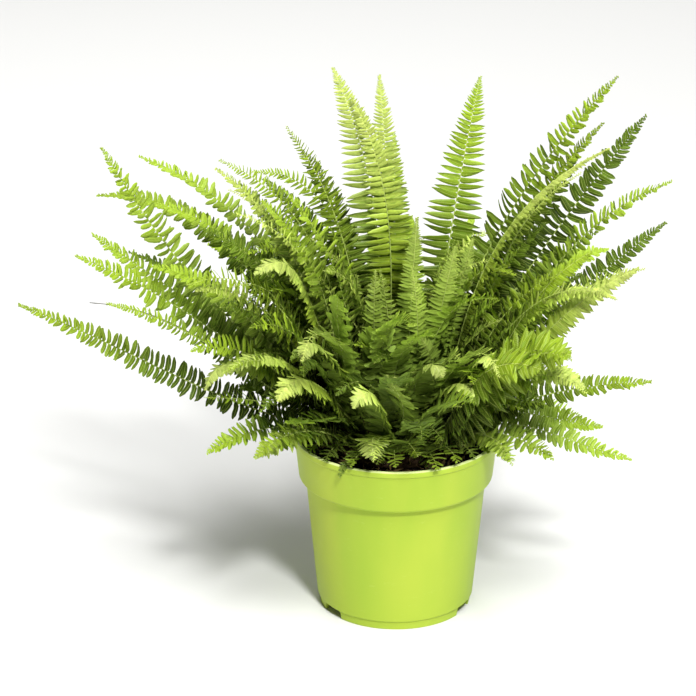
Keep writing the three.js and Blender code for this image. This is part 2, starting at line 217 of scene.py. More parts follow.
def add_node(tree, kind, sockets=None, **settings):
    """Adds a node; a socket's value is a plain value or another node's output to link."""
    node = tree.nodes.new(kind)
    for name, value in settings.items():
        setattr(node, name, value)
    for socket, value in (sockets or {}).items():
        if isinstance(value, bpy.types.NodeSocket):
            tree.links.new(value, node.inputs[socket])
        else:
            node.inputs[socket].default_value = value
    return node


def calculate(tree, operation, *values, clamp=False):
    sockets = dict(enumerate(values))
    return add_node(tree, "ShaderNodeMath", sockets, operation=operation, use_clamp=clamp).outputs[0]


def vector_of(tree, operation, *values):
    return add_node(tree, "ShaderNodeVectorMath", dict(enumerate(values)), operation=operation).outputs[0]


def ramp(tree, value, low, high, out_low=0.0, out_high=1.0):
    sockets = {0: value, 1: low, 2: high, 3: out_low, 4: out_high}
    return add_node(tree, "ShaderNodeMapRange", sockets, interpolation_type="SMOOTHSTEP").outputs[0]


def random_value(tree, seed, low=0.0, high=1.0, kind="FLOAT"):
    """A value for each point between two limits, vectors or numbers."""
    first, out = (0, 0) if kind == "FLOAT_VECTOR" else (2, 1)
    sockets = {"Seed": seed, first: low, first + 1: high}
    return add_node(tree, "FunctionNodeRandomValue", sockets, data_type=kind).outputs[out]


def opaque(rgb):
    return (*rgb, 1.0)


def blend_colours(tree, share, first, second, blend="MIX"):
    """Mixes two colours, each a plain colour or another node's output."""
    sockets = {0: share}
    for socket, value in ((6, first), (7, second)):
        sockets[socket] = value if isinstance(value, bpy.types.NodeSocket) else opaque(value)
    return add_node(tree, "ShaderNodeMix", sockets, data_type="RGBA", blend_type=blend).outputs[2]


def wash(tree, tone, mask, strength, rgb):
    """Lays a colour over another, as strongly as a mask says."""
    return blend_colours(tree, calculate(tree, "MULTIPLY", mask, strength), tone, rgb)


def object_place(tree):
    return add_node(tree, "ShaderNodeTexCoord").outputs["Object"]


def attribute(tree, name, output="Fac"):
    return add_node(tree, "ShaderNodeAttribute", attribute_name=name).outputs[output]


def object_noise(tree, scale, detail=3.0, roughness=0.5, stretch=(1, 1, 1)):
    """Noise on Object coordinates, as a number around one half."""
    place = add_node(tree, "ShaderNodeMapping", {"Vector": object_place(tree), "Scale": stretch}).outputs[0]
    sockets = {"Vector": place, "Scale": scale, "Detail": detail, "Roughness": roughness}
    return add_node(tree, "ShaderNodeTexNoise", sockets).outputs["Fac"]


def new_material(name):
    """An empty material and its tree; an earlier one of the same name is emptied and used again."""
    material = bpy.data.materials.get(name) or bpy.data.materials.new(name)
    material.use_nodes = True
    material.node_tree.nodes.clear()
    return material, material.node_tree


def surface(tree, colour_socket, roughness, height, bump, **fixed):
    """A Principled surface with a bump map, not yet linked to the output; bump is its depth in metres."""
    sockets = {"Height": height, "Distance": bump, "Strength": 1.0}
    normal = add_node(tree, "ShaderNodeBump", sockets).outputs[0]
    sockets = {"Base Color": colour_socket, "Roughness": roughness, "Normal": normal}
    sockets.update({name.replace("_", " "): value for name, value in fixed.items()})
    return add_node(tree, "ShaderNodeBsdfPrincipled", sockets)


def output(tree, shader):
    add_node(tree, "ShaderNodeOutputMaterial", {"Surface": shader.outputs[0]})


# ---------------------------------------------------------------- materials


def pot_plastic(settings):
    """Satin moulded plastic: faint flow marks, a fine grain, duller scuffs, painted shade towards the bottom
    and a painted highlight along the top of the lip.
    """
    material, tree = new_material("pot_plastic")
    flow = object_noise(tree, 14, detail=4, stretch=(1, 1, 0.25))
    tone = blend_colours(tree, ramp(tree, flow, 0.3, 0.75), settings.plastic, settings.shade)
    height = add_node(tree, "ShaderNodeSeparateXYZ", {0: object_place(tree)}).outputs[2]
    # painted shade: the lower part of the wall is drawn towards the deep plastic colour, darker towards the
    # bottom
    low = ramp(tree, height, POT_HEIGHT * 0.55, 0.0, 0.0, 0.35)
    tone = blend_colours(tree, low, tone, settings.shade)
    scuffs = ramp(tree, object_noise(tree, 90, detail=8, roughness=0.75, stretch=(1, 1, 2.5)), 0.58, 0.7)
    tone = wash(tree, tone, scuffs, 0.1, tint(0xE4F2A0))
    # painted highlight: the top of the lip is drawn pale, where light catches it
    painted_lip_highlight = ramp(tree, height, POT_HEIGHT - 1.2 * MM, POT_HEIGHT - 0.2 * MM, 0.0, 0.6)
    tone = blend_colours(tree, painted_lip_highlight, tone, tint(0xF2F8BC))
    grain = object_noise(tree, 2600, detail=2)
    roughness = calculate(tree, "MULTIPLY_ADD", scuffs, 0.14, 0.40)
    roughness = calculate(tree, "MULTIPLY_ADD", flow, 0.08, roughness)
    relief = calculate(tree, "MULTIPLY_ADD", grain, 0.5, flow)
    output(tree, surface(tree, tone, roughness, relief, 0.00010, IOR=1.49, Specular_IOR_Level=0.16))
    return material


def potting_soil(settings):
    """Dark peat with paler dry crumbs and a few pale grains."""
    material, tree = new_material("potting_soil")
    clods = object_noise(tree, 160, detail=8, roughness=0.7)
    tone = blend_colours(tree, ramp(tree, clods, 0.38, 0.68), settings.dark, settings.light)
    cells = add_node(tree, "ShaderNodeTexVoronoi", {"Scale": 520.0, "Vector": object_place(tree)})
    pale = ramp(tree, cells.outputs["Color"], 0.86, 0.95)
    tone = wash(tree, tone, pale, 0.5, settings.straw)
    relief = calculate(tree, "ADD", clods, calculate(tree, "MULTIPLY", cells.outputs["Distance"], 0.5))
    output(tree, surface(tree, tone, 0.92, relief, 0.0012, Specular_IOR_Level=0.25))
    return material


def straw_litter(settings):
    """Dead leaflets and fibres, from straw to dark brown, streaked along."""
    material, tree = new_material("leaf_litter")
    piece = attribute(tree, "tone")
    tone = blend_colours(tree, piece, settings.light, settings.straw)
    streaks = object_noise(tree, 700, detail=3)
    tone = blend_colours(tree, ramp(tree, streaks, 0.35, 0.7), tone, tint(0x6E5530))
    output(tree, surface(tree, tone, 0.8, streaks, 0.0002, Specular_IOR_Level=0.3))
    return material


def rhizome_bark(settings):
    """Brown rhizome with fibrous streaks."""
    material, tree = new_material("rhizome")
    fibres = object_noise(tree, 240, detail=6, roughness=0.65, stretch=(1, 1, 0.3))
    tone = blend_colours(tree, ramp(tree, fibres, 0.35, 0.7), settings.bark, tint(0x2A1D12))
    output(tree, surface(tree, tone, 0.85, fibres, 0.0008, Specular_IOR_Level=0.3))
    return material


def rhizome_scale(settings):
    """Thin papery scales, each of its own tone between rhizome and scale colour, with paler streaks."""
    material, tree = new_material("rhizome_scale")
    tone = blend_colours(tree, attribute(tree, "tone"), settings.bark, settings.scales)
    streaks = object_noise(tree, 900, detail=2)
    tone = wash(tree, tone, streaks, 0.5, tint(0xB89A62))
    output(tree, surface(tree, tone, 0.62, streaks, 0.0001))
    return material


def runner_skin(settings):
    """Wiry, dull runner, darker in patches."""
    material, tree = new_material("runner")
    patches = object_noise(tree, 130, detail=5)
    tone = blend_colours(tree, ramp(tree, patches, 0.4, 0.65), settings.skin, tint(0x2F3020))
    output(tree, surface(tree, tone, 0.6, object_noise(tree, 1500), 0.0002))
    return material


HEART_RISE = UP * 0.03  # the middle of the plant's shaded heart, over the crown
HEART_REACH, HEART_CORE = 0.13, 0.05  # where that shade starts and where it is full, from there
VEIN_TURNS = 95.0  # radians that the wave of the veins turns through along a leaflet
LIGHT_THROUGH = 0.3  # share of the light that a leaflet lets through


def leaf_blade(name, leaf, tip, settings):
    """A leaflet: pale midrib and slanting veins, paler rim, tip and underside, each a little different, with
    painted shade towards the crown and in the middle of the clump.
    """
    material, tree = new_material(name)
    share = attribute(tree, "share")
    tone_of_leaflet = attribute(tree, "tone")
    blade = add_node(tree, "ShaderNodeSeparateXYZ", {0: attribute(tree, "blade", "Vector")}).outputs
    outwards, across, underside = blade[0], blade[1], blade[2]
    from_rib = calculate(tree, "ABSOLUTE", across)

    tone = blend_colours(tree, ramp(tree, share, 0.45, 1.0), leaf, tip)
    shaded = ramp(tree, share, 0.7, 0.14, 0.0, 0.95)
    tone = blend_colours(tree, shaded, tone, settings.shade)
    # painted shade: leaflets near the middle of the clump, over the crown, are drawn towards the shade
    # colour
    sockets = {0: object_place(tree), 1: CROWN_TOP + HEART_RISE}
    painted_heart_shade = add_node(tree, "ShaderNodeVectorMath", sockets, operation="DISTANCE").outputs["Value"]
    painted_heart_shade = ramp(tree, painted_heart_shade, HEART_REACH, HEART_CORE, 0.0, 0.85)
    tone = blend_colours(tree, painted_heart_shade, tone, settings.shade)
    yellower = blend_colours(tree, 0.4, leaf, settings.tip)
    tone = blend_colours(tree, ramp(tree, tone_of_leaflet, 0.45, 1.0, 0.0, 0.5), tone, yellower)
    darker = calculate(tree, "MULTIPLY_ADD", tone_of_leaflet, 0.85, 0.52)
    tone = vector_of(tree, "MULTIPLY", tone, combine(tree, darker, darker, darker))
    mottle = object_noise(tree, 420, detail=3)
    tone = blend_colours(tree, ramp(tree, mottle, 0.35, 0.75, 0.0, 0.22), tone, settings.old)

    slant = calculate(tree, "MULTIPLY_ADD", from_rib, -0.11, outwards)
    wave = calculate(tree, "SINE", calculate(tree, "MULTIPLY", slant, VEIN_TURNS))
    veins = ramp(tree, wave, 0.55, 1.0)
    veins = calculate(tree, "MULTIPLY", veins, ramp(tree, from_rib, 0.04, 0.2))
    tone = wash(tree, tone, veins, 0.22, settings.tip)
    rim = ramp(tree, from_rib, 0.8, 1.0, 0.0, 0.25)
    tone = blend_colours(tree, rim, tone, settings.tip)
    rib = ramp(tree, from_rib, 0.13, 0.02)
    tone = wash(tree, tone, rib, 0.55, settings.tip)
    tone = wash(tree, tone, underside, 0.6, settings.under)

    roughness = calculate(tree, "MULTIPLY_ADD", underside, 0.2, 0.34)
    roughness = calculate(tree, "MULTIPLY_ADD", mottle, 0.12, roughness)
    relief = calculate(tree, "SUBTRACT", calculate(tree, "MULTIPLY", veins, 0.5), rib)
    body = surface(tree, tone, roughness, relief, 0.00012, Specular_IOR_Level=0.3)
    lit = blend_colours(tree, 1.0, tone, tint(0xF4FFB0), blend="MULTIPLY")
    glow = add_node(tree, "ShaderNodeBsdfTranslucent", {"Color": lit})
    mix = add_node(tree, "ShaderNodeMixShader", {0: LIGHT_THROUGH, 1: body.outputs[0], 2: glow.outputs[0]})
    output(tree, mix)
    return material


def combine(tree, x, y, z):
    return add_node(tree, "ShaderNodeCombineXYZ", {0: x, 1: y, 2: z}).outputs[0]


def leaf_stalk(settings):
    """A frond's stalk: brown at the crown, pale green along the blade, finely ridged."""
    material, tree = new_material("leaf_stalk")
    share = attribute(tree, "share")
    uneven = calculate(tree, "MULTIPLY_ADD", object_noise(tree, 60), 0.3, share)
    tone = blend_colours(tree, ramp(tree, uneven, 0.2, 0.5), settings.stalk_brown, settings.stalk_green)
    tone = blend_colours(tree, ramp(tree, share, 0.6, 1.0, 0.0, 0.7), tone, settings.tip)
    ridges = object_noise(tree, 1400, detail=2)
    tone = wash(tree, tone, ridges, 0.2, settings.stalk_brown)
    output(tree, surface(tree, tone, 0.5, ridges, 0.0001))
    return material


def floor_paper(settings):
    """Matt pale paper with a barely visible tooth."""
    material, tree = new_material("floor_paper")
    tooth = object_noise(tree, 300, detail=2)
    tone = wash(tree, settings.floor, tooth, 0.02, tint(0xCECECE))
    output(tree, surface(tree, tone, 0.9, tooth, 0.00005, Specular_IOR_Level=0.2))
    return material


# ---------------------------------------------------------------- objects


def add_object(name, mesh):
    obj = bpy.data.objects.new(name, mesh)
    bpy.context.scene.collection.objects.link(obj)
    return obj


def take_away(obj):
    mesh = obj.data
    bpy.data.objects.remove(obj)
    bpy.data.meshes.remove(mesh)


def from_bmesh(name, shape):
    mesh = bpy.data.meshes.new(name)
    shape.to_mesh(mesh)
    shape.free()
    return mesh


def smooth_by_angle(mesh, degrees):
    mesh.shade_smooth()
    mesh.set_sharp_from_angle(angle=math.radians(degrees))


def modifier_inputs(modifier, tree, values):
    """Sets a Geometry Nodes modifier's inputs, found by name and set by identifier."""
    for item in tree.interface.items_tree:
        if item.in_out == "INPUT" and item.name in values:
            modifier[item.identifier] = values[item.name]


def made_plain(obj):
    """Replaces an object's mesh with the result of its modifiers, and removes them."""
    bpy.context.view_layer.update()
    depsgraph = bpy.context.evaluated_depsgraph_get()
    mesh = bpy.data.meshes.new_from_object(
        obj.evaluated_get(depsgraph), preserve_all_data_layers=True, depsgraph=depsgraph
    )
    guide = obj.data
    obj.modifiers.clear()
    obj.data = mesh
    mesh.name = obj.name
    bpy.data.meshes.remove(guide)
    return mesh


def new_geometry_tree(name, inputs):
    """An empty Geometry Nodes tree with a Geometry input and the given named inputs."""
    if name in bpy.data.node_groups:
        bpy.data.node_groups.remove(bpy.data.node_groups[name])
    tree = bpy.data.node_groups.new(name, "GeometryNodeTree")
    tree.interface.new_socket("Geometry", in_out="INPUT", socket_type="NodeSocketGeometry")
    tree.interface.new_socket("Geometry", in_out="OUTPUT", socket_type="NodeSocketGeometry")
    for label, kind in inputs.items():
        tree.interface.new_socket(label, in_out="INPUT", socket_type="NodeSocket" + kind)
    return tree, tree.nodes.new("NodeGroupInput").outputs


def named(tree, name, kind="FLOAT"):
    return add_node(tree, "GeometryNodeInputNamedAttribute", {"Name": name}, data_type=kind).outputs[0]


def store(tree, geometry, name, value, kind="FLOAT", domain="POINT"):
    sockets = {"Geometry": geometry, "Name": name, "Value": value}
    node = add_node(tree, "GeometryNodeStoreNamedAttribute", sockets, data_type=kind, domain=domain)
    return node.outputs[0]


# ---------------------------------------------------------------- pot


def rounded(corners, step=math.radians(15)):
    """Points of an outline whose corners, (x, y, radius), are rounded off with short curves."""
    points = []
    for index, (x, y, radius) in enumerate(corners):
        here = Vector((x, y))
        if radius == 0:
            points.append(here)
            continue
        back = Vector(corners[index - 1][:2]) - here
        ahead = Vector(corners[index + 1][:2]) - here
        half_angle = back.angle(ahead) / 2
        reach = min(radius / math.tan(half_angle), 0.45 * back.length, 0.45 * ahead.length)
        start, end = here + back.normalized() * reach, here + ahead.normalized() * reach
        pieces = max(2, math.ceil((math.pi - 2 * half_angle) / step))
        for piece in range(pieces + 1):
            t = piece / pieces
            points.append(start * (1 - t) ** 2 + here * 2 * t * (1 - t) + end * t * t)
    return points


def spoke(angle):
    """A level direction, turned about +Z from +X."""
    return Vector((math.cos(angle), math.sin(angle), 0))


def lathe(outline, sides):
    """A closed shape turned about the pot's axis from an outline that starts and ends on it."""
    shape = bmesh.new()
    rings = []
    for point in outline:
        if point.x < 1e-7:
            rings.append([shape.verts.new(POT_AXIS + UP * point.y)])
            continue
        ring = []
        for side in range(sides):
            out = spoke(2 * math.pi * side / sides) * point.x
            ring.append(shape.verts.new(POT_AXIS + out + UP * point.y))
        rings.append(ring)
    for lower, upper in zip(rings, rings[1:]):
        for side in range(sides):
            corners = []
            for ring, at in ((lower, side), (lower, side + 1), (upper, side + 1), (upper, side)):
                corner = ring[at % len(ring)]
                if corner not in corners:
                    corners.append(corner)
            shape.faces.new(corners)
    bmesh.ops.recalc_face_normals(shape, faces=shape.faces)
    return shape


LIP_DEPTH = 3.4 * MM  # thickness of the lip
LIP_STEP = 1.2 * MM  # how far the lip stands out from the collar
COLLAR_TAPER = 3.4 * MM  # how much narrower the collar is at its foot than at its top


def pot_outline(pot):
    """The pot's section from the floor's underside, over foot, wall, collar and lip, to the floor's top."""
    collar_foot = POT_HEIGHT - pot.collar
    lip_foot = POT_HEIGHT - pot.lip
    lip_inside = RIM_RADIUS - LIP_DEPTH
    collar_top = RIM_RADIUS - LIP_STEP
    collar_low = collar_top - COLLAR_TAPER
    return [
        (0, pot.foot_height, 0),
        (pot.foot - pot.wall - 0.6 * MM, pot.foot_height, 0.8 * MM),
        (pot.foot - pot.wall - 1.0 * MM, 0, 0.5 * MM),
        (pot.foot, 0, 0.7 * MM),
        (pot.foot + 0.6 * MM, pot.foot_height - 1.2 * MM, 0.5 * MM),
        (pot.wall_bottom, pot.foot_height + 0.2 * MM, 0.7 * MM),
        (pot.wall_top, collar_foot - 0.8 * MM, 1.0 * MM),
        (collar_low, collar_foot + 0.6 * MM, 3.6 * MM),
        (collar_top, lip_foot - 0.8 * MM, 0.6 * MM),
        (RIM_RADIUS, lip_foot + 0.2 * MM, 1.2 * MM),
        (RIM_RADIUS, POT_HEIGHT, 1.9 * MM),
        (lip_inside, POT_HEIGHT, 1.2 * MM),
        (collar_low - pot.wall + 1.5 * MM, collar_foot + 10 * MM, 3 * MM),
        (pot.wall_top - pot.wall, collar_foot - 1.5 * MM, 2 * MM),
        (pot.wall_bottom - pot.wall, pot.foot_height + pot.floor, 2 * MM),
        (0, pot.foot_height + pot.floor, 0),
    ]


def foot_notch(pot, degrees):
    """A gap between two feet, narrower at its top, right through the foot's wall."""
    shape = bmesh.new()
    bmesh.ops.create_cube(shape, size=1)
    top = pot.foot_height - 0.6 * MM
    for vert in shape.verts:
        upper = vert.co.z > 0
        half = pot.notch / 2 - (2.2 * MM if upper else 0)
        vert.co = Vector((
            pot.foot * (1.2 if vert.co.x > 0 else 0.6),
            math.copysign(half, vert.co.y),
            top if upper else -5 * MM,
        ))
    bmesh.ops.bevel(
        shape, geom=[e for e in shape.edges if min(v.co.z for v in e.verts) > 0],
        offset=1.2 * MM, segments=3, profile=0.5, affect="EDGES",
    )
    bmesh.ops.rotate(shape, verts=shape.verts, matrix=Matrix.Rotation(math.radians(degrees), 3, "Z"))
    bmesh.ops.translate(shape, verts=shape.verts, vec=POT_AXIS)
    return add_object("foot_notch", from_bmesh("foot_notch", shape))


def drain_drill(pot, degrees):
    shape = bmesh.new()
    bmesh.ops.create_cone(
        shape, cap_ends=True, segments=24,
        radius1=pot.drain_hole, radius2=pot.drain_hole, depth=4 * pot.floor,
    )
    middle = POT_AXIS + spoke(math.radians(degrees)) * pot.drain_circle
    bmesh.ops.translate(shape, verts=shape.verts, vec=middle + UP * (pot.foot_height + pot.floor / 2))
    return add_object("drain_drill", from_bmesh("drain_drill", shape))


NOTCH_TURNS = (-146, -26, 94)  # degrees about +Z, from +X
DRAIN_HOLES = 6
SHARP_FROM = 34  # degrees between two of the pot's faces


class FERN_OT_pot(bpy.types.Operator):
    """Turn the pot from its section and cut its foot notches and drain holes"""

    bl_idname = "fern.pot"
    bl_label = "Pot"

    def execute(self, context):
        pot = context.scene.fern_pot
        shape = lathe(rounded(pot_outline(pot)), pot.sides)
        piece = add_object("grow_pot", from_bmesh("grow_pot", shape))
        cutters = [foot_notch(pot, degrees) for degrees in NOTCH_TURNS]
        cutters += [drain_drill(pot, 360 * (hole + 0.5) / DRAIN_HOLES) for hole in range(DRAIN_HOLES)]
        for cutter in cutters:
            cut = piece.modifiers.new("cut", "BOOLEAN")
            cut.operation = "DIFFERENCE"
            cut.object = cutter
        mesh = made_plain(piece)
        for cutter in cutters:
            take_away(cutter)
        smooth_by_angle(mesh, SHARP_FROM)
        mesh.materials.clear()
        mesh.materials.append(pot_plastic(pot))
        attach(piece, BODY)
        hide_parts("pot")
        return {"FINISHED"}


# ---------------------------------------------------------------- soil, litter and crown


def soil_outline(pot):
    """The root ball's section, a small gap inside the pot, from its underside to its top edge."""
    gap = 0.5 * MM
    collar_foot = POT_HEIGHT - pot.collar
    edge_height = SOIL_HIGH.z - 3.2 * MM
    return [
        (0, pot.foot_height + pot.floor + gap, 0),
        (pot.wall_bottom - pot.wall - gap, pot.foot_height + pot.floor + gap, 3 * MM),
        (pot.wall_top - pot.wall - gap, collar_foot - 1.5 * MM, 2 * MM),
        (RIM_RADIUS - 6.2 * MM - pot.wall + 1.5 * MM - gap, collar_foot + 11 * MM, 3 * MM),
        (RIM_RADIUS - 4.6 * MM - gap, edge_height, 0),
    ]


def soil_height(x, y, lumps):
    """Height of the soil's surface over a point of it."""
    out = Vector((x, y)).length / RIM_RADIUS
    dome = SOIL_HIGH.z - 3.0 * MM * out * out
    clods = noise.fractal(Vector((x, y, 0)) * 90, 0.9, 2.1, 4)
    return dome + lumps * min(0.45, 0.9 * clods) - 0.4 * lumps


def soil_body(pot, lumps):
    """The root ball, with a fine grid of rings over its uneven top."""
    outline = rounded(soil_outline(pot))
    edge = outline[-1]
    rings = 46
    outline += [Vector((edge.x * (1 - (ring / rings)), edge.y)) for ring in range(1, rings + 1)]
    shape = lathe(outline, 120)
    for vert in shape.verts:
        if vert.co.z > edge.y - 1e-6:
            place = vert.co - POT_AXIS
            settle = min(1, 8 * (1 - Vector(place[:2]).length / edge.x))
            wanted = soil_height(place.x, place.y, lumps)
            vert.co.z = edge.y + (wanted - edge.y) * settle
    return shape


def crumb(name, seed):
    """A small lump with a few uneven faces."""
    draw = random.Random(seed)
    shape = bmesh.new()
    bmesh.ops.create_icosphere(shape, subdivisions=1, radius=0.5)
    for vert in shape.verts:
        vert.co *= draw.uniform(0.65, 1.15)
        vert.co.z *= 0.75
    return add_object(name, from_bmesh(name, shape))


def flake(name, seed, long, wide, curl):
    """A thin pointed flake that lies along X from its base, closed all round."""
    draw = random.Random(seed)
    shape = bmesh.new()
    stations = ((0.0, 0.35), (0.25, 1.0), (0.6, 0.85), (0.85, 0.45), (1.0, 0.08))
    rings = []
    lean = draw.uniform(-0.2, 0.2)
    for share, width in stations:
        rise = curl * share * share * long
        middle = lean * share * share * long
        half = 0.5 * wide * width
        ring = [
            shape.verts.new((long * share, middle + side * half, rise + lift * long))
            for side, lift in ((-1, 0.02), (0, 0.0), (1, 0.02), (0, -0.035))
        ]
        rings.append(ring)
    for lower, upper in zip(rings, rings[1:]):
        for corner in range(4):
            after = (corner + 1) % 4
            shape.faces.new((lower[corner], lower[after], upper[after], upper[corner]))
    shape.faces.new(reversed(rings[0]))
    shape.faces.new(rings[-1])
    bmesh.ops.recalc_face_normals(shape, faces=shape.faces)
    return add_object(name, from_bmesh(name, shape))


def scatter_tree(name):
    """Shapes of a collection strewn over a surface, turned and sized at random."""
    inputs = {
        "Shapes": "Collection", "Spacing": "Float", "Seed": "Int", "Least size": "Float",
        "Most size": "Float", "Tilt": "Float", "Sink": "Float", "Material": "Material",
    }
    tree, given = new_geometry_tree(name, inputs)
    sockets = {
        "Mesh": given["Geometry"], "Distance Min": given["Spacing"],
        "Density Max": 400000.0, "Seed": given["Seed"],
    }
    points = add_node(tree, "GeometryNodeDistributePointsOnFaces", sockets, distribute_method="POISSON")
    cloud = store(tree, points.outputs["Points"], "tone", random_value(tree, given["Seed"]))
    shapes = add_node(
        tree, "GeometryNodeCollectionInfo",
        {"Collection": given["Shapes"], "Separate Children": True, "Reset Children": True},
    )
    limit = calculate(tree, "MULTIPLY", given["Tilt"], -1.0)
    low = combine(tree, limit, limit, -math.pi)
    high = combine(tree, given["Tilt"], given["Tilt"], math.pi)
    euler = random_value(tree, given["Seed"], low, high, "FLOAT_VECTOR")
    spin = add_node(tree, "FunctionNodeEulerToRotation", {0: euler}).outputs[0]
    sockets = {"Rotation": points.outputs["Rotation"], "Rotate By": spin}
    rotation = add_node(tree, "FunctionNodeRotateRotation", sockets, rotation_space="LOCAL").outputs[0]
    size = random_value(tree, given["Seed"], given["Least size"], given["Most size"])
    sockets = {
        "Points": cloud, "Instance": shapes.outputs[0], "Pick Instance": True,
        "Rotation": rotation, "Scale": size,
    }
    copies = add_node(tree, "GeometryNodeInstanceOnPoints", sockets).outputs[0]
    sockets = {"Instances": copies, "Translation": combine(tree, 0.0, 0.0, given["Sink"])}
    copies = add_node(tree, "GeometryNodeTranslateInstances", sockets).outputs[0]
    real = add_node(tree, "GeometryNodeRealizeInstances", {"Geometry": copies}).outputs[0]
    sockets = {"Geometry": real, "Material": given["Material"]}
    done = add_node(tree, "GeometryNodeSetMaterial", sockets).outputs[0]
    add_node(tree, "NodeGroupOutput", {0: done})
    return tree


def ground_patch(name, inner, outer, surface_height):
    """A ring-shaped sheet to strew things over, between two radii about the pot's axis."""
    shape = bmesh.new()
    rings, sides = 24, 72
    grid = []
    for ring in range(rings + 1):
        radius = inner + (outer - inner) * ring / rings
        row = []
        for side in range(sides):
            angle = 2 * math.pi * side / sides
            x, y = radius * math.cos(angle), radius * math.sin(angle)
            row.append(shape.verts.new(POT_AXIS + Vector((x, y, surface_height(x, y)))))
        grid.append(row)
    for lower, upper in zip(grid, grid[1:]):
        for side in range(sides):
            after = (side + 1) % sides
            shape.faces.new((lower[side], upper[side], upper[after], lower[after]))
    return add_object(name, from_bmesh(name, shape))


def strewn(name, patch, shapes, tree, values):
    """Strews the shapes over the patch and keeps the result as one plain piece."""
    box = bpy.data.collections.new(name + "_shapes")
    for shape in shapes:
        bpy.context.scene.collection.objects.unlink(shape)
        box.objects.link(shape)
    patch.name = name
    modifier = patch.modifiers.new("strew", "NODES")
    modifier.node_group = tree
    modifier_inputs(modifier, tree, {**values, "Shapes": box})
    mesh = made_plain(patch)
    for shape in shapes:
        take_away(shape)
    bpy.data.collections.remove(box)
    mesh.shade_smooth()
    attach(patch, BODY)
    return patch


class FERN_OT_soil(bpy.types.Operator):
    """Fill the pot with its root ball and strew crumbs, fibres and dead leaflets over it"""

    bl_idname = "fern.soil"
    bl_label = "Soil"

    def execute(self, context):
        soil = context.scene.fern_soil
        pot = context.scene.fern_pot
        ball = add_object("soil_ball", from_bmesh("soil_ball", soil_body(pot, soil.lumps)))
        ball.data.shade_smooth()
        earth = potting_soil(soil)
        ball.data.materials.append(earth)
        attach(ball, BODY)
        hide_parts("soil")

        def top(x, y):
            return soil_height(x, y, soil.lumps)

        tree = scatter_tree("strewn_over_soil")
        inner, outer = CROWN_RADIUS * 0.7, RIM_RADIUS - 8 * MM
        strewn(
            "soil_crumbs", ground_patch("soil_crumbs", inner, outer, top),
            [crumb(f"crumb_{n}", n) for n in range(4)], tree,
            {
                "Spacing": soil.spacing, "Seed": soil.seed, "Least size": 0.5 * soil.crumb,
                "Most size": 1.6 * soil.crumb, "Tilt": 0.6, "Sink": 0.2 * soil.crumb, "Material": earth,
            },
        )
        widths = (0.3, 0.1, 0.07, 0.34)  # dead leaflets and fibres of length 1
        litter = [flake(f"litter_{n}", n, 1, wide, 0.12) for n, wide in enumerate(widths)]
        strewn(
            "leaf_litter", ground_patch("leaf_litter", inner, outer - 13 * MM, top), litter, tree,
            {
                "Spacing": 4.6 * MM, "Seed": soil.seed + 1, "Least size": 5 * MM, "Most size": 13 * MM,
                "Tilt": 0.3, "Sink": 1.6 * MM, "Material": straw_litter(soil),
            },
        )
        return {"FINISHED"}


def crown_height(x, y):
    """Height of the rhizome clump's surface over a point of it."""
    out = min(1, Vector((x, y)).length / CROWN_RADIUS)
    mound = (1 - out ** 4) ** 0.5 * (CROWN_HIGH.z - CROWN_LOW.z)
    return CROWN_LOW.z + mound + 2.2 * MM * (noise.fractal(Vector((x, y, 3)) * 110, 0.8, 2.2, 3)) * (1 - out)


class FERN_OT_crown(bpy.types.Operator):
    """Shape the rhizome clump and cover it with papery scales"""

    bl_idname = "fern.crown"
    bl_label = "Crown"

    def execute(self, context):
        crown = context.scene.fern_crown
        rings = 26
        foot = CROWN_LOW.z
        outline = [Vector((0, foot)), Vector((CROWN_RADIUS, foot))]
        outline += [Vector((CROWN_RADIUS * (1 - ring / rings), foot + MM)) for ring in range(1, rings + 1)]
        shape = lathe(outline, 84)
        for vert in shape.verts:
            if vert.co.z > foot + MM / 2:
                place = vert.co - POT_AXIS
                vert.co.z = max(vert.co.z, crown_height(place.x, place.y))
        piece = add_object("rhizome_clump", from_bmesh("rhizome_clump", shape))
        piece.data.shade_smooth()
        piece.data.materials.append(rhizome_bark(crown))
        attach(piece, BODY)
        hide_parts("crown")
        shapes = [flake(f"scale_{n}", 20 + n, 1, 0.3, curl) for n, curl in enumerate((0.5, 0.9, 0.2))]
        strewn(
            "rhizome_scales", ground_patch("rhizome_scales", 0, CROWN_RADIUS - MM, crown_height), shapes,
            scatter_tree("strewn_over_crown"),
            {
                "Spacing": crown.spacing, "Seed": crown.seed, "Least size": 0.6 * crown.scale,
                "Most size": 1.3 * crown.scale, "Tilt": 0.9, "Sink": 0.0, "Material": rhizome_scale(crown),
            },
        )
        return {"FINISHED"}


# ---------------------------------------------------------------- leaflets

# Outlines of a leaflet of length 1: share of its length, then how far its edges stand from the
# midrib, towards the frond's tip, where it has an ear at its base, and towards the frond's root.
POINTED_LEAFLET = (
    (0.000, 0.014, 0.014),
    (0.050, 0.160, 0.092),
    (0.160, 0.166, 0.132),
    (0.420, 0.130, 0.130),
    (0.690, 0.094, 0.092),
    (0.890, 0.044, 0.044),
)
BLUNT_LEAFLET = (
    (0.000, 0.016, 0.016),
    (0.050, 0.168, 0.066),
    (0.160, 0.164, 0.114),
    (0.430, 0.130, 0.134),
    (0.720, 0.122, 0.126),
    (0.925, 0.066, 0.070),
)
LEAFLET_THICKNESS = 0.013

# Bend down, twist, cupping and hook of each variant.
LEAFLET_VARIANTS = (
    (0.12, 0.15, 0.035, 0.05),
    (-0.03, -0.25, 0.050, 0.03),
    (0.26, 0.35, 0.020, 0.08),
    (0.08, -0.10, -0.025, 0.02),
)


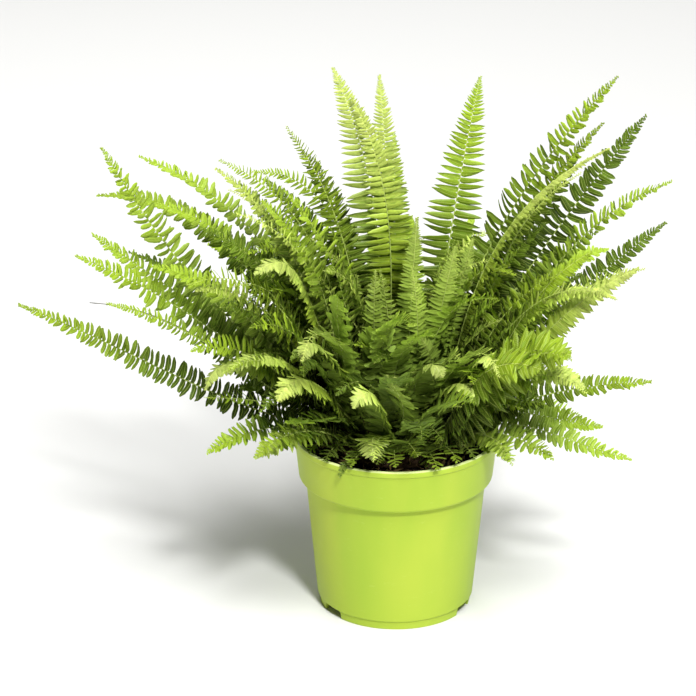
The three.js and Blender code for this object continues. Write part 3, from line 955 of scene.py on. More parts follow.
def leaflet(name, outline, hand, variant):
    """A thin closed leaflet along +X; hand is 1 where the frond's tip lies towards -Y."""
    droop, twist, cup, hook = LEAFLET_VARIANTS[variant]
    ripple = random.Random(variant)
    shape = bmesh.new()
    blade = shape.loops.layers.float_vector.new("blade")
    patch = shape.loops.layers.uv.new("patch")
    rings = []
    for share, tipward, rootward in outline:
        wave_tipward = ripple.uniform(-0.016, 0.016)
        wave_rootward = ripple.uniform(-0.016, 0.016)
        middle = hook * share * share
        level = -droop * share * share + 0.04 * share
        section = (
            (-1.0, -rootward, -cup + wave_rootward),
            (-0.5, -0.5 * rootward, 0.35 * LEAFLET_THICKNESS),
            (0.0, 0.0, -0.3 * LEAFLET_THICKNESS),
            (0.5, 0.5 * tipward, 0.35 * LEAFLET_THICKNESS),
            (1.0, tipward, -cup + wave_tipward),
            (0.0, 0.0, -1.6 * LEAFLET_THICKNESS),
        )
        angle = twist * share
        ring = []
        for across, y, z in section:
            swung_y = y * math.cos(angle) - z * math.sin(angle)
            swung_z = y * math.sin(angle) + z * math.cos(angle)
            place = (share, -hand * (swung_y + middle), swung_z + level)
            ring.append((shape.verts.new(place), share, across))
        rings.append(ring)
    point = shape.verts.new((1.0, -hand * hook, 0.04 - droop))

    def add_face(corners, underside):
        face = shape.faces.new([vert for vert, _, _ in corners])
        for loop, (_, share, across) in zip(face.loops, corners):
            loop[blade] = Vector((share, across, underside))
            strip = 0.75 if underside else 0.25
            loop[patch].uv = (0.02 + 0.96 * share, strip + 0.23 * across)
        face.smooth = True

    for lower, upper in zip(rings, rings[1:]):
        for corner in range(6):
            after = (corner + 1) % 6
            add_face((lower[corner], lower[after], upper[after], upper[corner]), float(corner > 3))
    last = rings[-1]
    for corner in range(6):
        add_face((last[corner], last[(corner + 1) % 6], (point, 1.0, 0.0)), float(corner > 3))
    add_face(tuple(reversed(rings[0])), 1.0)
    bmesh.ops.recalc_face_normals(shape, faces=shape.faces)
    for lower, upper in zip(rings, rings[1:]):
        for corner in (0, 4):
            shape.edges.get((lower[corner][0], upper[corner][0])).smooth = False
    for corner in (0, 4):
        shape.edges.get((last[corner][0], point)).smooth = False
    return add_object(name, from_bmesh(name, shape))


def leaflet_box(name, outline):
    """A collection of the leaflet variants, those for one side first and then the other's."""
    box = bpy.data.collections.new(name)
    for hand, letter in ((-1, "a"), (1, "b")):
        for variant in range(len(LEAFLET_VARIANTS)):
            shape = leaflet(f"{name}_{letter}{variant}", outline, hand, variant)
            bpy.context.scene.collection.objects.unlink(shape)
            box.objects.link(shape)
    return box


# ---------------------------------------------------------------- midribs


class Midrib:
    """Where a frond's midrib runs, which way its blade faces and how far its longest leaflets reach."""

    def __init__(self, centres, faces, reach):
        self.places, self.faces, self.reach = [], [], reach
        steps = 10
        last = len(centres) - 1
        for link in range(last):
            before, after = max(0, link - 1), min(last, link + 2)
            start, end = centres[link], centres[link + 1]
            leave = (end - centres[before]) * (0.5 if link else 1.0)
            arrive = (centres[after] - start) * (0.5 if link + 1 < last else 1.0)
            for step in range(steps + (link + 1 == last)):
                t = step / steps
                place = (
                    start * (2 * t**3 - 3 * t**2 + 1) + leave * (t**3 - 2 * t**2 + t)
                    + end * (3 * t**2 - 2 * t**3) + arrive * (t**3 - t**2)
                )
                self.places.append(place)
                self.faces.append(faces[link].lerp(faces[link + 1], t).normalized())
        self.distances = [0.0]
        for here, there in zip(self.places, self.places[1:]):
            self.distances.append(self.distances[-1] + (there - here).length)
        self.length = self.distances[-1]

    def at(self, distance):
        """Place, direction along and direction of the upper face, at a distance from the root."""
        index = 0
        while index < len(self.distances) - 2 and self.distances[index + 1] < distance:
            index += 1
        gap = self.distances[index + 1] - self.distances[index]
        t = (distance - self.distances[index]) / gap
        along = (self.places[index + 1] - self.places[index]).normalized()
        place = self.places[index].lerp(self.places[index + 1], t)
        face = self.faces[index].lerp(self.faces[index + 1], t)
        return place, along, (face - along * face.dot(along)).normalized()


def rings_from(node, start, corners):
    """Walks the rings of a long solid from the end nearest to a place; each ring is a list of points."""
    shape = bmesh.new()
    shape.from_mesh(frame["nodes"][node].data)
    bmesh.ops.remove_doubles(shape, verts=shape.verts, dist=0.01 * MM)
    ring = sorted(shape.verts, key=lambda vert: (vert.co - start).length)[:corners]
    seen, rings = set(), []
    while ring:
        seen.update(ring)
        rings.append([vert.co.copy() for vert in sorted(ring, key=lambda vert: vert.index)])
        near = {edge.other_vert(vert) for vert in ring for edge in vert.link_edges}
        ring = [vert for vert in near if vert not in seen]
    shape.free()
    if any(len(ring) != corners for ring in rings):
        raise RuntimeError(f"{node} isn't made of rings of {corners} corners")
    return rings


BLADE_FILL = 0.85  # how much of the leaflets' reach a frond's solid takes up


def midrib_of(node, roll, breadth):
    """The midrib of a packed frond, from the four corners of each of its rings, rolled and broadened."""
    centres, faces, reaches = [], [], []
    for ring in rings_from(node, CROWN_TOP, 4):
        pairs = [(one, other) for index, one in enumerate(ring) for other in ring[index + 1:]]
        left, right = max(pairs, key=lambda pair: (pair[0] - pair[1]).length)
        centre = (left + right) / 2
        ridge, keel = sorted(
            (point for point in ring if point is not left and point is not right),
            key=lambda point: (point - centre).length,
        )
        centres.append(centre)
        face = (ridge - keel).normalized()
        side = (left - centre).normalized()
        side = side if face.cross(side).dot(centre - CROWN_TOP) > 0 else -side
        faces.append(Quaternion(face.cross(side), math.radians(roll)) @ face)
        reaches.append(breadth * (left - right).length / 2 / BLADE_FILL)
    return Midrib(centres, faces, max(reaches))


def blade_profile(share, taper=3.2):
    """Leaflets' reach along a frond, as a share of its most: quick to widen, drawn out to the tip."""
    widening = min(1, max(0, (share - 0.04) / 0.24))
    narrowing = max(0, 1 - share**taper) ** 0.85
    return max(0.3 * (1 - share), widening * widening * (3 - 2 * widening)) * narrowing


def midrib_to(root_radius, tip, launch, landing, roll, half, bow=0.0):
    """The midrib of a frond from the crown to a tip given from the pot's axis, bowed sideways by a share."""
    level = Vector((tip.x, tip.y, 0))
    out = level.normalized()
    aside = UP.cross(out)
    root = out * root_radius + UP * (CROWN_HIGH.z - MM)
    span = (tip - root).length
    launch, landing = math.radians(launch), math.radians(landing)
    sideways = aside * bow * span
    first = root + 0.4 * span * (out * math.cos(launch) + UP * math.sin(launch)) + sideways
    second = tip - 0.36 * span * (out * math.cos(landing) + UP * math.sin(landing)) + sideways
    centres, faces, reaches = [], [], []
    stations = 14
    for station in range(stations + 1):
        t = station / stations
        s = 1 - t
        centre = root * s**3 + first * 3 * s * s * t + second * 3 * s * t * t + tip * t**3
        along = ((first - root) * s * s + (second - first) * 2 * s * t + (tip - second) * t * t).normalized()
        rolled = Quaternion(along, math.radians(roll) * min(1, t / 0.35))
        side = rolled @ (aside - along * aside.dot(along)).normalized()
        centres.append(POT_AXIS + centre)
        faces.append(along.cross(side))
        reaches.append(half * blade_profile(t))
    return Midrib(centres, faces, max(reaches))


# ---------------------------------------------------------------- fronds

ATLAS_COLUMNS = 8
ATLAS_TOP = 0.95  # leaflets take up this much of the map, and the stalk the rest
BARE_SHARE = 0.11  # of the midrib, from the crown, that has no leaflets
BARE_STEP = 4 * MM  # between the guide's points along that stretch
TIP_GAP = 1 * MM  # from the last leaflet to the tip, at least
LEAST_REACH = 2 * MM


KINDS = {"side": "FLOAT_VECTOR", "face": "FLOAT_VECTOR", "cell": "FLOAT_VECTOR", "variant": "INT"}


def draw_line(mesh, places):
    mesh.from_pydata(places, [(index, index + 1) for index in range(len(places) - 1)], [])


def add_values(mesh, name, numbers, kind="FLOAT"):
    """Adds a point attribute and fills it."""
    column = "vector" if kind == "FLOAT_VECTOR" else "value"
    mesh.attributes.new(name, kind, "POINT").data.foreach_set(column, numbers)


def guide_of(name, midrib, habit, seed):
    """A line along the midrib, with a point at each leaflet's seat and what the leaflet needs there."""
    draw = random.Random(seed)
    own_tone = draw.random()
    most = midrib.reach * habit.breadth
    seats = []
    distance, hand = 0.0, 1
    while distance < BARE_SHARE * midrib.length:
        seats.append((distance, 0, 0.0))
        distance += BARE_STEP
    while distance < midrib.length - TIP_GAP:
        reach = max(most * blade_profile(distance / midrib.length, habit.taper), LEAST_REACH)
        reach *= draw.uniform(0.92, 1.05)
        seats.append((distance, hand, reach))
        distance += 0.5 * (habit.pitch + habit.growth * reach) * draw.uniform(0.92, 1.08)
        hand = -hand
    seats.append((midrib.length, 0, 0.0))

    leaflets = sum(1 for seat in seats if seat[1])
    rows = math.ceil(leaflets / ATLAS_COLUMNS)
    mesh = bpy.data.meshes.new(name)
    keys = ("side", "face", "hand", "reach", "share", "tone", "variant", "cell", "stalk")
    values = {key: [] for key in keys}
    places, cell = [], 0
    for distance, hand, reach in seats:
        place, along, face = midrib.at(distance)
        share = distance / midrib.length
        places.append(place)
        values["side"] += face.cross(along)[:]
        values["face"] += face[:]
        values["hand"].append(float(hand))
        values["reach"].append(reach)
        values["share"].append(share)
        values["tone"].append(0.65 * own_tone + 0.35 * draw.random())
        other_side = len(LEAFLET_VARIANTS) if hand > 0 else 0
        values["variant"].append(draw.randrange(len(LEAFLET_VARIANTS)) + other_side)
        row, column = divmod(cell, ATLAS_COLUMNS)
        values["cell"] += (column / ATLAS_COLUMNS, ATLAS_TOP * row / rows, 0)
        values["stalk"].append(1.0 - 0.78 * share)
        cell += 1 if hand else 0
    draw_line(mesh, places)
    for key, numbers in values.items():
        add_values(mesh, key, numbers, KINDS.get(key, "FLOAT"))
    return mesh, rows


def stalk_branch(tree, path, radius, sides=7):
    """A tube along a path, as thick as its stalk attribute says, with its own strip of the map."""
    ring = add_node(tree, "GeometryNodeMeshLine", {"Count": sides + 1}).outputs[0]
    index = add_node(tree, "GeometryNodeInputIndex").outputs[0]
    around = calculate(tree, "DIVIDE", index, float(sides))
    angle = calculate(tree, "MULTIPLY", around, 2 * math.pi)
    spot = combine(tree, calculate(tree, "COSINE", angle), calculate(tree, "SINE", angle), 0.0)
    ring = store(tree, ring, "around", around)
    ring = add_node(tree, "GeometryNodeSetPosition", {"Geometry": ring, "Position": spot}).outputs[0]
    ring = add_node(tree, "GeometryNodeMeshToCurve", {0: ring}).outputs[0]
    curve = add_node(tree, "GeometryNodeMeshToCurve", {0: path}).outputs[0]
    size = calculate(tree, "MULTIPLY", named(tree, "stalk"), radius)
    sockets = {"Curve": curve, "Profile Curve": ring, "Scale": size}
    tube = add_node(tree, "GeometryNodeCurveToMesh", sockets).outputs[0]
    height = calculate(tree, "MULTIPLY_ADD", named(tree, "around"), 0.96 - ATLAS_TOP, ATLAS_TOP + 0.02)
    spot = combine(tree, named(tree, "share"), height, 0.0)
    tube = store(tree, tube, "OFBake", spot, kind="FLOAT2", domain="CORNER")
    return add_node(tree, "GeometryNodeMergeByDistance", {"Geometry": tube, "Distance": 1e-6}).outputs[0]


def frond_tree():
    """Leaflets on both sides of a guide line, and a stalk along it."""
    inputs = {
        "Leaflets": "Collection", "Cell size": "Vector", "Stalk radius": "Float", "Sweep": "Float",
        "Fold": "Float", "Twist": "Float", "Unevenness": "Float", "Width": "Float", "Least width": "Float",
        "Seed": "Int", "Blade material": "Material", "Stalk material": "Material",
    }
    tree, given = new_geometry_tree("fern_frond", inputs)
    hand = named(tree, "hand")
    share = named(tree, "share")
    side = named(tree, "side", "FLOAT_VECTOR")
    outwards = vector_of(tree, "MULTIPLY", side, combine(tree, hand, hand, hand))
    seat = add_node(
        tree, "FunctionNodeAxesToRotation",
        {"Primary Axis": named(tree, "face", "FLOAT_VECTOR"), "Secondary Axis": outwards},
        primary_axis="Z", secondary_axis="X",
    ).outputs[0]

    limit = calculate(tree, "MULTIPLY", given["Unevenness"], -1.0)
    least, most = combine(tree, limit, limit, limit), combine(tree, *[given["Unevenness"]] * 3)
    jitter = random_value(tree, given["Seed"], least, most, "FLOAT_VECTOR")
    against = calculate(tree, "MULTIPLY", hand, -1.0)
    near_tip = ramp(tree, share, 0.55, 1.0, 0.0, math.radians(24))
    near_root = ramp(tree, share, 0.35, 0.1, 0.0, math.radians(-14))
    sweep = calculate(tree, "ADD", given["Sweep"], calculate(tree, "ADD", near_tip, near_root))
    turns = combine(
        tree,
        calculate(tree, "MULTIPLY", against, given["Twist"]),
        calculate(tree, "MULTIPLY", given["Fold"], -1.0),
        calculate(tree, "MULTIPLY", against, sweep),
    )
    turns = vector_of(tree, "ADD", turns, jitter)
    own = add_node(tree, "FunctionNodeEulerToRotation", {0: turns}).outputs[0]
    sockets = {"Rotation": seat, "Rotate By": own}
    rotation = add_node(tree, "FunctionNodeRotateRotation", sockets, rotation_space="LOCAL").outputs[0]

    reach = named(tree, "reach")
    wide = calculate(tree, "MULTIPLY_ADD", reach, 0.84, given["Least width"])
    wide = calculate(tree, "MULTIPLY", wide, given["Width"])
    shapes = add_node(
        tree, "GeometryNodeCollectionInfo",
        {"Collection": given["Leaflets"], "Separate Children": True, "Reset Children": True},
    )
    sockets = {
        "Points": given["Geometry"], "Selection": calculate(tree, "GREATER_THAN", reach, 0.0),
        "Instance": shapes.outputs[0], "Pick Instance": True,
        "Instance Index": named(tree, "variant", "INT"),
        "Rotation": rotation, "Scale": combine(tree, reach, wide, wide),
    }
    copies = add_node(tree, "GeometryNodeInstanceOnPoints", sockets).outputs[0]
    leaflets = add_node(tree, "GeometryNodeRealizeInstances", {"Geometry": copies}).outputs[0]
    local = vector_of(tree, "MULTIPLY", named(tree, "patch", "FLOAT_VECTOR"), given["Cell size"])
    spot = vector_of(tree, "ADD", named(tree, "cell", "FLOAT_VECTOR"), local)
    leaflets = store(tree, leaflets, "OFBake", spot, kind="FLOAT2", domain="CORNER")
    sockets = {"Geometry": leaflets, "Material": given["Blade material"]}
    leaflets = add_node(tree, "GeometryNodeSetMaterial", sockets).outputs[0]

    stalk = stalk_branch(tree, given["Geometry"], given["Stalk radius"])
    sockets = {"Geometry": stalk, "Material": given["Stalk material"]}
    stalk = add_node(tree, "GeometryNodeSetMaterial", sockets).outputs[0]
    both = add_node(tree, "GeometryNodeJoinGeometry")
    tree.links.new(stalk, both.inputs[0])
    tree.links.new(leaflets, both.inputs[0])
    add_node(tree, "NodeGroupOutput", {0: both.outputs[0]})
    return tree


KEPT_ATTRIBUTES = ("share", "tone", "blade", "position", "sharp_edge", "material_index", "OFBake")


class FrondMaker:
    """Makes fronds as plain pieces from one set of leaflets, materials and settings."""

    def __init__(self, settings):
        self.settings = settings
        self.tree = frond_tree()
        self.pointed = leaflet_box("pointed_leaflets", POINTED_LEAFLET)
        self.blunt = leaflet_box("blunt_leaflets", BLUNT_LEAFLET)
        self.stalk = leaf_stalk(settings)
        self.blades = {
            "leaf_young": leaf_blade("leaf_young", settings.young, settings.tip, settings),
            "leaf": leaf_blade("leaf", settings.mature, settings.young, settings),
            "leaf_old": leaf_blade("leaf_old", settings.old, settings.mature, settings),
            "leaf_pale": leaf_blade("leaf_pale", settings.young, settings.pale, settings),
            # leaf_deep is the mature blade in a darker colour, painted shade for fronds away from the light
            "leaf_deep": leaf_blade("leaf_deep", settings.deep, settings.young, settings),
            "leaf_tall": leaf_blade("leaf_tall", settings.mature, settings.tip, settings),
        }

    def grow(self, name, midrib, blade, habit, seed, thick=1.0):
        fronds = self.settings
        guide, rows = guide_of(name, midrib, habit, seed)
        piece = add_object(name, guide)
        modifier = piece.modifiers.new("leaflets", "NODES")
        modifier.node_group = self.tree
        modifier_inputs(modifier, self.tree, {
            "Leaflets": self.blunt if isinstance(habit, MatureHabit) else self.pointed,
            "Cell size": (1 / ATLAS_COLUMNS, ATLAS_TOP / rows, 0.0),
            "Stalk radius": fronds.stalk * thick,
            "Sweep": habit.sweep,
            "Fold": habit.fold,
            "Twist": habit.twist,
            "Unevenness": habit.uneven,
            "Width": habit.width,
            "Least width": fronds.least_width,
            "Seed": fronds.seed + seed,
            "Blade material": self.blades[blade],
            "Stalk material": self.stalk,
        })
        mesh = made_plain(piece)
        for spare in [a.name for a in mesh.attributes if a.name[0] != "." and a.name not in KEPT_ATTRIBUTES]:
            mesh.attributes.remove(mesh.attributes[spare])
        mesh.shade_smooth()
        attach(piece, BODY)
        return piece

    def clear(self):
        for box in (self.pointed, self.blunt):
            for shape in list(box.objects):
                take_away(shape)
            bpy.data.collections.remove(box)


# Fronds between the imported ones, given by their tips from the pot's axis: x, y and z of the tip,
# launch and landing slope, roll and leaflets' reach, in millimetres and degrees; then the blade.
BROAD_FRONDS = (
    (-47, -77, 143, 34, -72, 0, 7, "leaf_old"),
    (-72, -52, 154, 34, -35, 0, 12, "leaf"),
    (-58, -68, 153, 36, -38, -10, 12, "leaf_old"),
    (-38, -82, 155, 38, -42, 10, 13, "leaf"),
    (-24, -74, 160, 44, -50, -20, 12, "leaf_old"),
    (-2, -88, 157, 40, -44, 0, 13, "leaf"),
    (12, -76, 160, 44, -40, 15, 13, "leaf_old"),
    (32, -86, 154, 38, -40, 0, 13, "leaf"),
    (48, -76, 156, 38, -38, -10, 13, "leaf"),
    (62, -62, 154, 36, -36, 10, 12, "leaf_old"),
    (76, -50, 154, 34, -30, 0, 12, "leaf"),
    (-48, -58, 166, 48, -30, -15, 12, "leaf"),
    (34, -66, 168, 50, -30, 15, 12, "leaf"),
    (-84, -30, 158, 34, -30, 0, 12, "leaf_old"),
    (86, -20, 156, 34, -30, 0, 12, "leaf"),
    (161, -20, 334, 62, 36, 45, 15, "leaf_deep"),
    (96, -40, 326, 74, 50, 40, 14, "leaf"),
    (127, -60, 312, 60, 30, 45, 15, "leaf"),
    (80, -62, 290, 70, 30, 30, 15, "leaf"),
    (-145, -10, 382, 66, 34, -50, 13, "leaf_young"),
    (-158, -90, 308, 58, 4, -50, 15, "leaf_young"),
    (-126, 0, 366, 72, 40, -50, 16, "leaf_old"),
    (-108, -30, 362, 74, 44, -50, 17, "leaf_deep"),
    (-78, 10, 392, 80, 58, -50, 16, "leaf_old"),
    (-89, -42, 374, 80, 52, -45, 16, "leaf"),
    (-156, -40, 342, 62, 24, -50, 17, "leaf_old"),
    (-197, -30, 307, 48, 8, -50, 15, "leaf_deep"),
    (-140, -80, 290, 58, 8, -45, 17, "leaf_old"),
    (-116, -98, 280, 62, 0, -40, 17, "leaf_deep"),
    (-165, -60, 246, 44, -8, -40, 16, "leaf_deep"),
    (-150, -20, 270, 50, 4, -40, 17, "leaf_old"),
    (-120, -20, 320, 64, 26, -40, 17, "leaf_old"),
    (-54, -30, 340, 84, 64, -35, 15, "leaf"),
    (150, 0, 290, 52, 20, 40, 16, "leaf_old"),
    (120, 10, 330, 66, 40, 40, 16, "leaf_old"),
)
DROOPING_FRONDS = (
    (134, -100, 258, 40, -16, 62, 24, "leaf"),
    (110, -110, 250, 44, -14, 50, 20, "leaf_deep"),
    (168, -90, 302, 62, -8, 30, 9, "leaf_young"),
    (189, -60, 316, 44, 26, 55, 12, "leaf_young"),
    (152, -60, 330, 50, 34, 55, 12, "leaf"),
    (147, -90, 226, 42, -38, 30, 13, "leaf_pale"),
    (164, -40, 408, 80, 24, 15, 8, "leaf_young"),
    (-76, -95, 250, 80, -80, -5, 15, "leaf_pale"),
    (-154, -60, 212, 60, -72, -20, 11, "leaf_pale"),
    (-136, -80, 235, 64, -40, -10, 12, "leaf_pale"),
    (-94, -95, 216, 68, -62, -10, 13, "leaf_young"),
    (-113, -85, 166, 50, -32, -10, 14, "leaf_pale"),
    (-95, -105, 221, 66, -50, -20, 14, "leaf_young"),
    (-19, -98, 168, 72, -82, 0, 13, "leaf_pale"),
    (-4, -95, 226, 82, -76, 0, 12, "leaf_pale"),
    (35, -90, 235, 82, -76, 5, 15, "leaf_pale"),
    (73, -85, 236, 74, -74, 10, 13, "leaf_pale"),
    (90, -70, 154, 44, -46, 20, 9, "leaf_pale"),
    (-113, -75, 316, 66, -25, -30, 13, "leaf_pale"),
    (60, 95, 246, 76, -70, 0, 13, "leaf_pale"),
    (-30, 110, 232, 74, -66, 0, 13, "leaf_pale"),
    (-100, 80, 258, 72, -60, 0, 13, "leaf_young"),
)
SLENDER_FRONDS = (
    (-134, -40, 374, 72, 25, -50, 11, "leaf_young"),
    (-127, -60, 361, 74, 20, -45, 11, "leaf_young"),
    (-129, -95, 313, 60, 5, -40, 13, "leaf"),
    (-154, -50, 156, 36, -12, -20, 13, "leaf"),
    (-155, -50, 202, 44, 10, -10, 13, "leaf"),
    (-18, -65, 316, 84, 70, 0, 11, "leaf_young"),
    (10, -70, 321, 84, 74, 10, 10, "leaf_young"),
    (-14, -40, 307, 84, 75, -10, 11, "leaf_young"),
    (17, -40, 294, 84, 76, 5, 11, "leaf"),
    (34, -20, 306, 84, 70, 15, 12, "leaf_young"),
    (-32, -30, 299, 84, 78, -15, 11, "leaf_young"),
    (46, -10, 322, 82, 70, 20, 12, "leaf"),
    (-46, -40, 324, 82, 60, -20, 13, "leaf_young"),
    (-78, -30, 320, 78, 50, -30, 13, "leaf_young"),
    (147, 4, 374, 66, 30, 40, 9, "leaf_young"),
    (92, -80, 155, 46, -50, 30, 13, "leaf"),
    (100, -70, 200, 50, -15, 20, 15, "leaf"),
    (16, -92, 168, 46, -36, 5, 15, "leaf"),
    (-17, -88, 160, 42, -30, 0, 12, "leaf"),
    (50, -85, 208, 62, 10, 0, 11, "leaf_young"),
    (125, -60, 156, 36, -15, 25, 11, "leaf"),
    (156, 40, 149, 34, -20, 40, 12, "leaf"),
    (-67, 40, 375, 84, 60, -50, 12, "leaf"),
)

# Fronds that fill the clump: the turn from one to the next, then for each sort the blade, how many,
# and the least and most of the tip's distance from the root, its height, its landing slope and the reach.
FILLER_TURN = 137.5
FILLERS = (
    ("leaf", 32, (60, 125), (200, 320), (-35, 40), (13, 17)),
    ("leaf_old", 26, (60, 120), (165, 250), (-40, 10), (13, 17)),
    ("leaf_young", 22, (30, 90), (220, 330), (0, 65), (10, 14)),
    ("leaf_pale", 6, (45, 100), (190, 270), (-75, -40), (10, 14)),
    ("leaf_old", 10, (45, 90), (180, 260), (-60, -20), (12, 15)),
    ("leaf", 20, (38, 60), (146, 170), (-50, -15), (10, 14)),
)

FILLER_LIMIT = 138 * MM  # of a filling frond's tip, from the pot's axis
FILLER_SEED = 41
SEED_BETWEEN, SEED_FILLING = 200, 300  # the first seeds of the fronds given by their tips, and of the others
YOUNG_STALK = 0.8  # thickness of a young packed frond's stalk, against a full-grown one's
THIN_STALK = 0.75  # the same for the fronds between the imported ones

SHADED_BLADES_ON_LEFT = {"leaf": "leaf_deep", "leaf_young": "leaf"}  # darker blades for packed fronds on the left, painted shade for fronds away from the light
PALE_FRONDS = ("frond_middle_01", "frond_middle_02")  # paler towards their tips than the rest

# Packed fronds that are rolled about their midribs against their solids, in degrees, or whose leaflets
# reach further or less far than the solid says, as a factor.
ADJUSTED = {
    "frond_right_01": (40, 1.25), "frond_right_04": (25, 1.1), "frond_right_06": (25, 1.0),
    "frond_left_01": (0, 0.72), "frond_left_12": (0, 0.85),
}


class FERN_OT_fronds(bpy.types.Operator):
    """Grow every packed frond with its leaflets, along the midrib of its solid"""

    bl_idname = "fern.fronds"
    bl_label = "Fronds"

    def execute(self, context):
        scene = context.scene
        maker = FrondMaker(scene.fern_fronds)
        for number, node in enumerate(FROND_NODES):
            slot = SLOT_OF[node]
            habit = scene.fern_young if slot == "leaf_young" else scene.fern_mature
            # painted shade: packed fronds on the left get a darker copy of their blade
            blade = SHADED_BLADES_ON_LEFT.get(slot, slot) if node.startswith("frond_left") else slot
            if node.startswith("frond_middle"):
                habit = scene.fern_upright
                blade = "leaf_tall" if node in PALE_FRONDS else slot
            thick = YOUNG_STALK if slot == "leaf_young" else 1.0
            name = node.replace("frond_", "fern_frond_")
            midrib = midrib_of(node, *ADJUSTED.get(node, (0, 1)))
            piece = maker.grow(name, midrib, blade, habit, number, thick)
            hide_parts(node)
        maker.clear()
        return {"FINISHED"}


class FERN_OT_slender_fronds(bpy.types.Operator):
    """Grow the drooping, broad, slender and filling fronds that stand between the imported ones"""

    bl_idname = "fern.slender_fronds"
    bl_label = "Fronds between them"

    def execute(self, context):
        scene = context.scene
        maker = FrondMaker(scene.fern_fronds)
        rows = [(row, scene.fern_drooping, "drooping") for row in DROOPING_FRONDS]
        rows += [(row, scene.fern_mature, "broad") for row in BROAD_FRONDS]
        rows += [(row, scene.fern_young, "slender") for row in SLENDER_FRONDS]
        for number, ((x, y, z, launch, landing, roll, half, blade), habit, sort) in enumerate(rows):
            tip = Vector((x, y, z)) * MM
            root = min(38 * MM, 0.4 * Vector((tip.x, tip.y)).length)
            seed = SEED_BETWEEN + number
            bow = random.Random(seed).uniform(-0.14, 0.14)
            midrib = midrib_to(root, tip, launch, landing, roll, half * MM, bow)
            piece = maker.grow(f"{sort}_frond_{number + 1:02d}", midrib, blade, habit, seed, THIN_STALK)
        draw = random.Random(FILLER_SEED)
        habits = {"leaf": scene.fern_mature, "leaf_old": scene.fern_mature, "leaf_young": scene.fern_young}
        number = 0
        for blade, count, outs, heights, landings, reaches in FILLERS:
            for _ in range(count):
                number += 1
                angle = math.radians(FILLER_TURN * number)
                root = draw.uniform(8, 42) * MM
                out = min(root + draw.uniform(*outs) * MM, FILLER_LIMIT)
                tip = Vector((math.cos(angle) * out, math.sin(angle) * out, draw.uniform(*heights) * MM))
                launch = draw.uniform(58, 80) if heights[0] > 160 else draw.uniform(30, 50)
                roll = math.copysign(draw.uniform(-15, 50), tip.x)
                midrib = midrib_to(
                    root, tip, launch, draw.uniform(*landings), roll,
                    draw.uniform(*reaches) * MM, draw.uniform(-0.2, 0.2),
                )
                habit = habits.get(blade, scene.fern_drooping)
                seed = SEED_FILLING + number
                piece = maker.grow(f"filling_frond_{number:03d}", midrib, blade, habit, seed, THIN_STALK)
        maker.clear()
        return {"FINISHED"}


# ---------------------------------------------------------------- runners


class FERN_OT_runners(bpy.types.Operator):
    """Draw each wiry runner as a tapering tube along its solid"""

    bl_idname = "fern.runners"
    bl_label = "Runners"

    def execute(self, context):
        runners = context.scene.fern_runners
        tree, given = new_geometry_tree("fern_runner", {"Radius": "Float", "Material": "Material"})
        tube = stalk_branch(tree, given["Geometry"], given["Radius"])
        sockets = {"Geometry": tube, "Material": given["Material"]}
        add_node(tree, "NodeGroupOutput", {0: add_node(tree, "GeometryNodeSetMaterial", sockets).outputs[0]})
        skin = runner_skin(runners)
        for node in RUNNER_NODES:
            centres = [sum(ring, Vector()) / len(ring) for ring in rings_from(node, CROWN_TOP, 6)]
            path = Midrib(centres, [UP] * len(centres), 0.0)
            mesh = bpy.data.meshes.new(node)
            draw_line(mesh, path.places)
            shares = [distance / path.length for distance in path.distances]
            add_values(mesh, "share", shares)
            knots = [1.0 - 0.6 * share + 0.12 * math.sin(40 * share) ** 8 for share in shares]
            add_values(mesh, "stalk", knots)
            piece = add_object(node.replace("runner_", "wiry_runner_"), mesh)
            modifier = piece.modifiers.new("tube", "NODES")
            modifier.node_group = tree
            modifier_inputs(modifier, tree, {"Radius": runners.radius, "Material": skin})
            made_plain(piece).shade_smooth()
            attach(piece, BODY)
            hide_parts(node)
        return {"FINISHED"}


# ---------------------------------------------------------------- stage


def aim(obj, target):
    obj.rotation_euler = (target - obj.location).to_track_quat("-Z", "Y").to_euler()


def add_light(name, kind, place, target, power, **settings):
    light = bpy.data.lights.new(name, kind)
    light.energy = power
    for key, value in settings.items():
        setattr(light, key, value)
    obj = add_object(name, light)
    obj.location = place
    aim(obj, target)


FLOOR_HALF = 12  # metres
SENSOR_WIDTH = 36
LIT_HEIGHT = 0.25  # of the place that the lights point at
LIGHTS = (
    ("key_light", "AREA", (0.5, -1.75, 1.8), 68, {"shape": "DISK", "size": 0.4}),
    ("back_light", "AREA", (-0.4, 1.6, 1.7), 15, {"shape": "DISK", "size": 1.0}),
    ("overhead_light", "SUN", (0.3, -0.8, 2.4), 2.95, {"angle": math.radians(26)}),
)


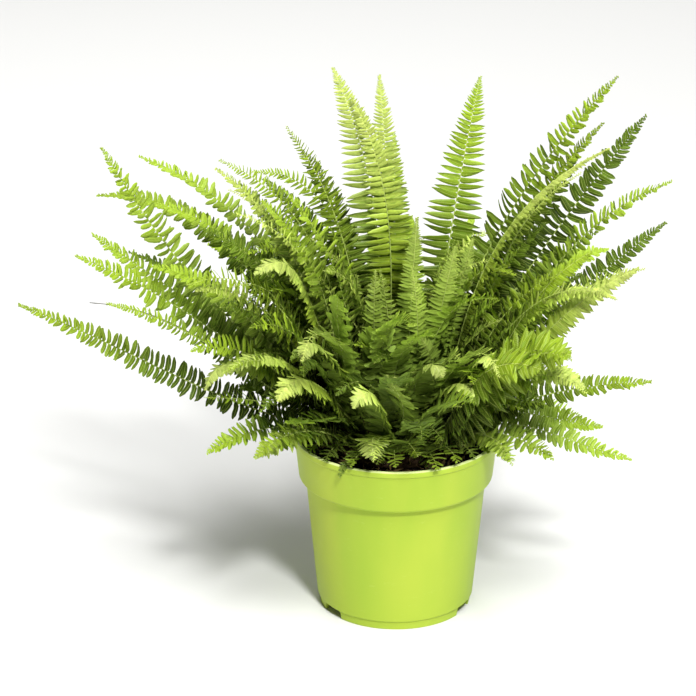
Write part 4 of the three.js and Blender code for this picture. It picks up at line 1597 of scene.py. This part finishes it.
class FERN_OT_stage(bpy.types.Operator):
    """Lay the pale floor and set up the camera and the soft lights"""

    bl_idname = "fern.stage"
    bl_label = "Stage"

    def execute(self, context):
        stage = context.scene.fern_stage
        scene = context.scene
        shape = bmesh.new()
        bmesh.ops.create_grid(shape, x_segments=2, y_segments=2, size=FLOOR_HALF)
        floor = add_object("floor", from_bmesh("floor", shape))
        floor.data.materials.append(floor_paper(stage))

        target = POT_AXIS + Vector((-stage.aim_left, 0, stage.aim_height))
        camera = add_object("camera", bpy.data.cameras.new("camera"))
        camera.data.lens = stage.lens
        camera.data.sensor_width = SENSOR_WIDTH
        back = Vector((0, -math.cos(stage.elevation), math.sin(stage.elevation)))
        camera.location = target + back * stage.distance
        aim(camera, target)
        scene.camera = camera

        middle = POT_AXIS + UP * LIT_HEIGHT
        for name, kind, place, power, settings in LIGHTS:
            add_light(name, kind, middle + Vector(place), middle, power, **settings)

        scene.world = bpy.data.worlds.new("studio")
        scene.world.use_nodes = True
        tree = scene.world.node_tree
        sky = tree.nodes["Background"]
        sky.inputs["Color"].default_value = (1, 1, 1, 1)
        direction = add_node(tree, "ShaderNodeTexCoord").outputs["Generated"]
        rise = add_node(tree, "ShaderNodeSeparateXYZ", {0: direction}).outputs[2]
        tree.links.new(ramp(tree, rise, 0.02, 0.3, 0.8, 0.07), sky.inputs["Strength"])
        scene.view_settings.view_transform = "Standard"
        return {"FINISHED"}


# ---------------------------------------------------------------- add-on

SETTINGS = {
    "fern_pot": PotSettings,
    "fern_soil": SoilSettings,
    "fern_crown": CrownSettings,
    "fern_fronds": FrondSettings,
    "fern_upright": UprightHabit,
    "fern_mature": MatureHabit,
    "fern_young": YoungHabit,
    "fern_drooping": DroopingHabit,
    "fern_runners": RunnerSettings,
    "fern_stage": StageSettings,
}
OPERATORS = (
    FERN_OT_pot,
    FERN_OT_soil,
    FERN_OT_crown,
    FERN_OT_fronds,
    FERN_OT_slender_fronds,
    FERN_OT_runners,
    FERN_OT_stage,
)


class FERN_PT_panel(bpy.types.Panel):
    """Lists the fern's pieces, with the sizes and colours of each"""

    bl_idname = "FERN_PT_panel"
    bl_label = "Potted fern"
    bl_space_type = "VIEW_3D"
    bl_region_type = "UI"
    bl_category = "Fern"

    def draw(self, context):
        for operator in OPERATORS:
            self.layout.operator(operator.bl_idname, text=operator.bl_label)
        for name, group in SETTINGS.items():
            box = self.layout.box()
            box.label(text=name.replace("_", " ").capitalize())
            settings = getattr(context.scene, name)
            for key in group.__annotations__:
                box.prop(settings, key)


def register():
    for group in (*SETTINGS.values(), *OPERATORS, FERN_PT_panel):
        bpy.utils.register_class(group)
    for name, group in SETTINGS.items():
        setattr(bpy.types.Scene, name, PointerProperty(type=group))


def unregister():
    for name in SETTINGS:
        delattr(bpy.types.Scene, name)
    for group in reversed((*SETTINGS.values(), *OPERATORS, FERN_PT_panel)):
        bpy.utils.unregister_class(group)


def main():
    register()
    for operator in OPERATORS:
        module, name = operator.bl_idname.split(".")
        getattr(getattr(bpy.ops, module), name)()


if __name__ == "__main__":
    main()
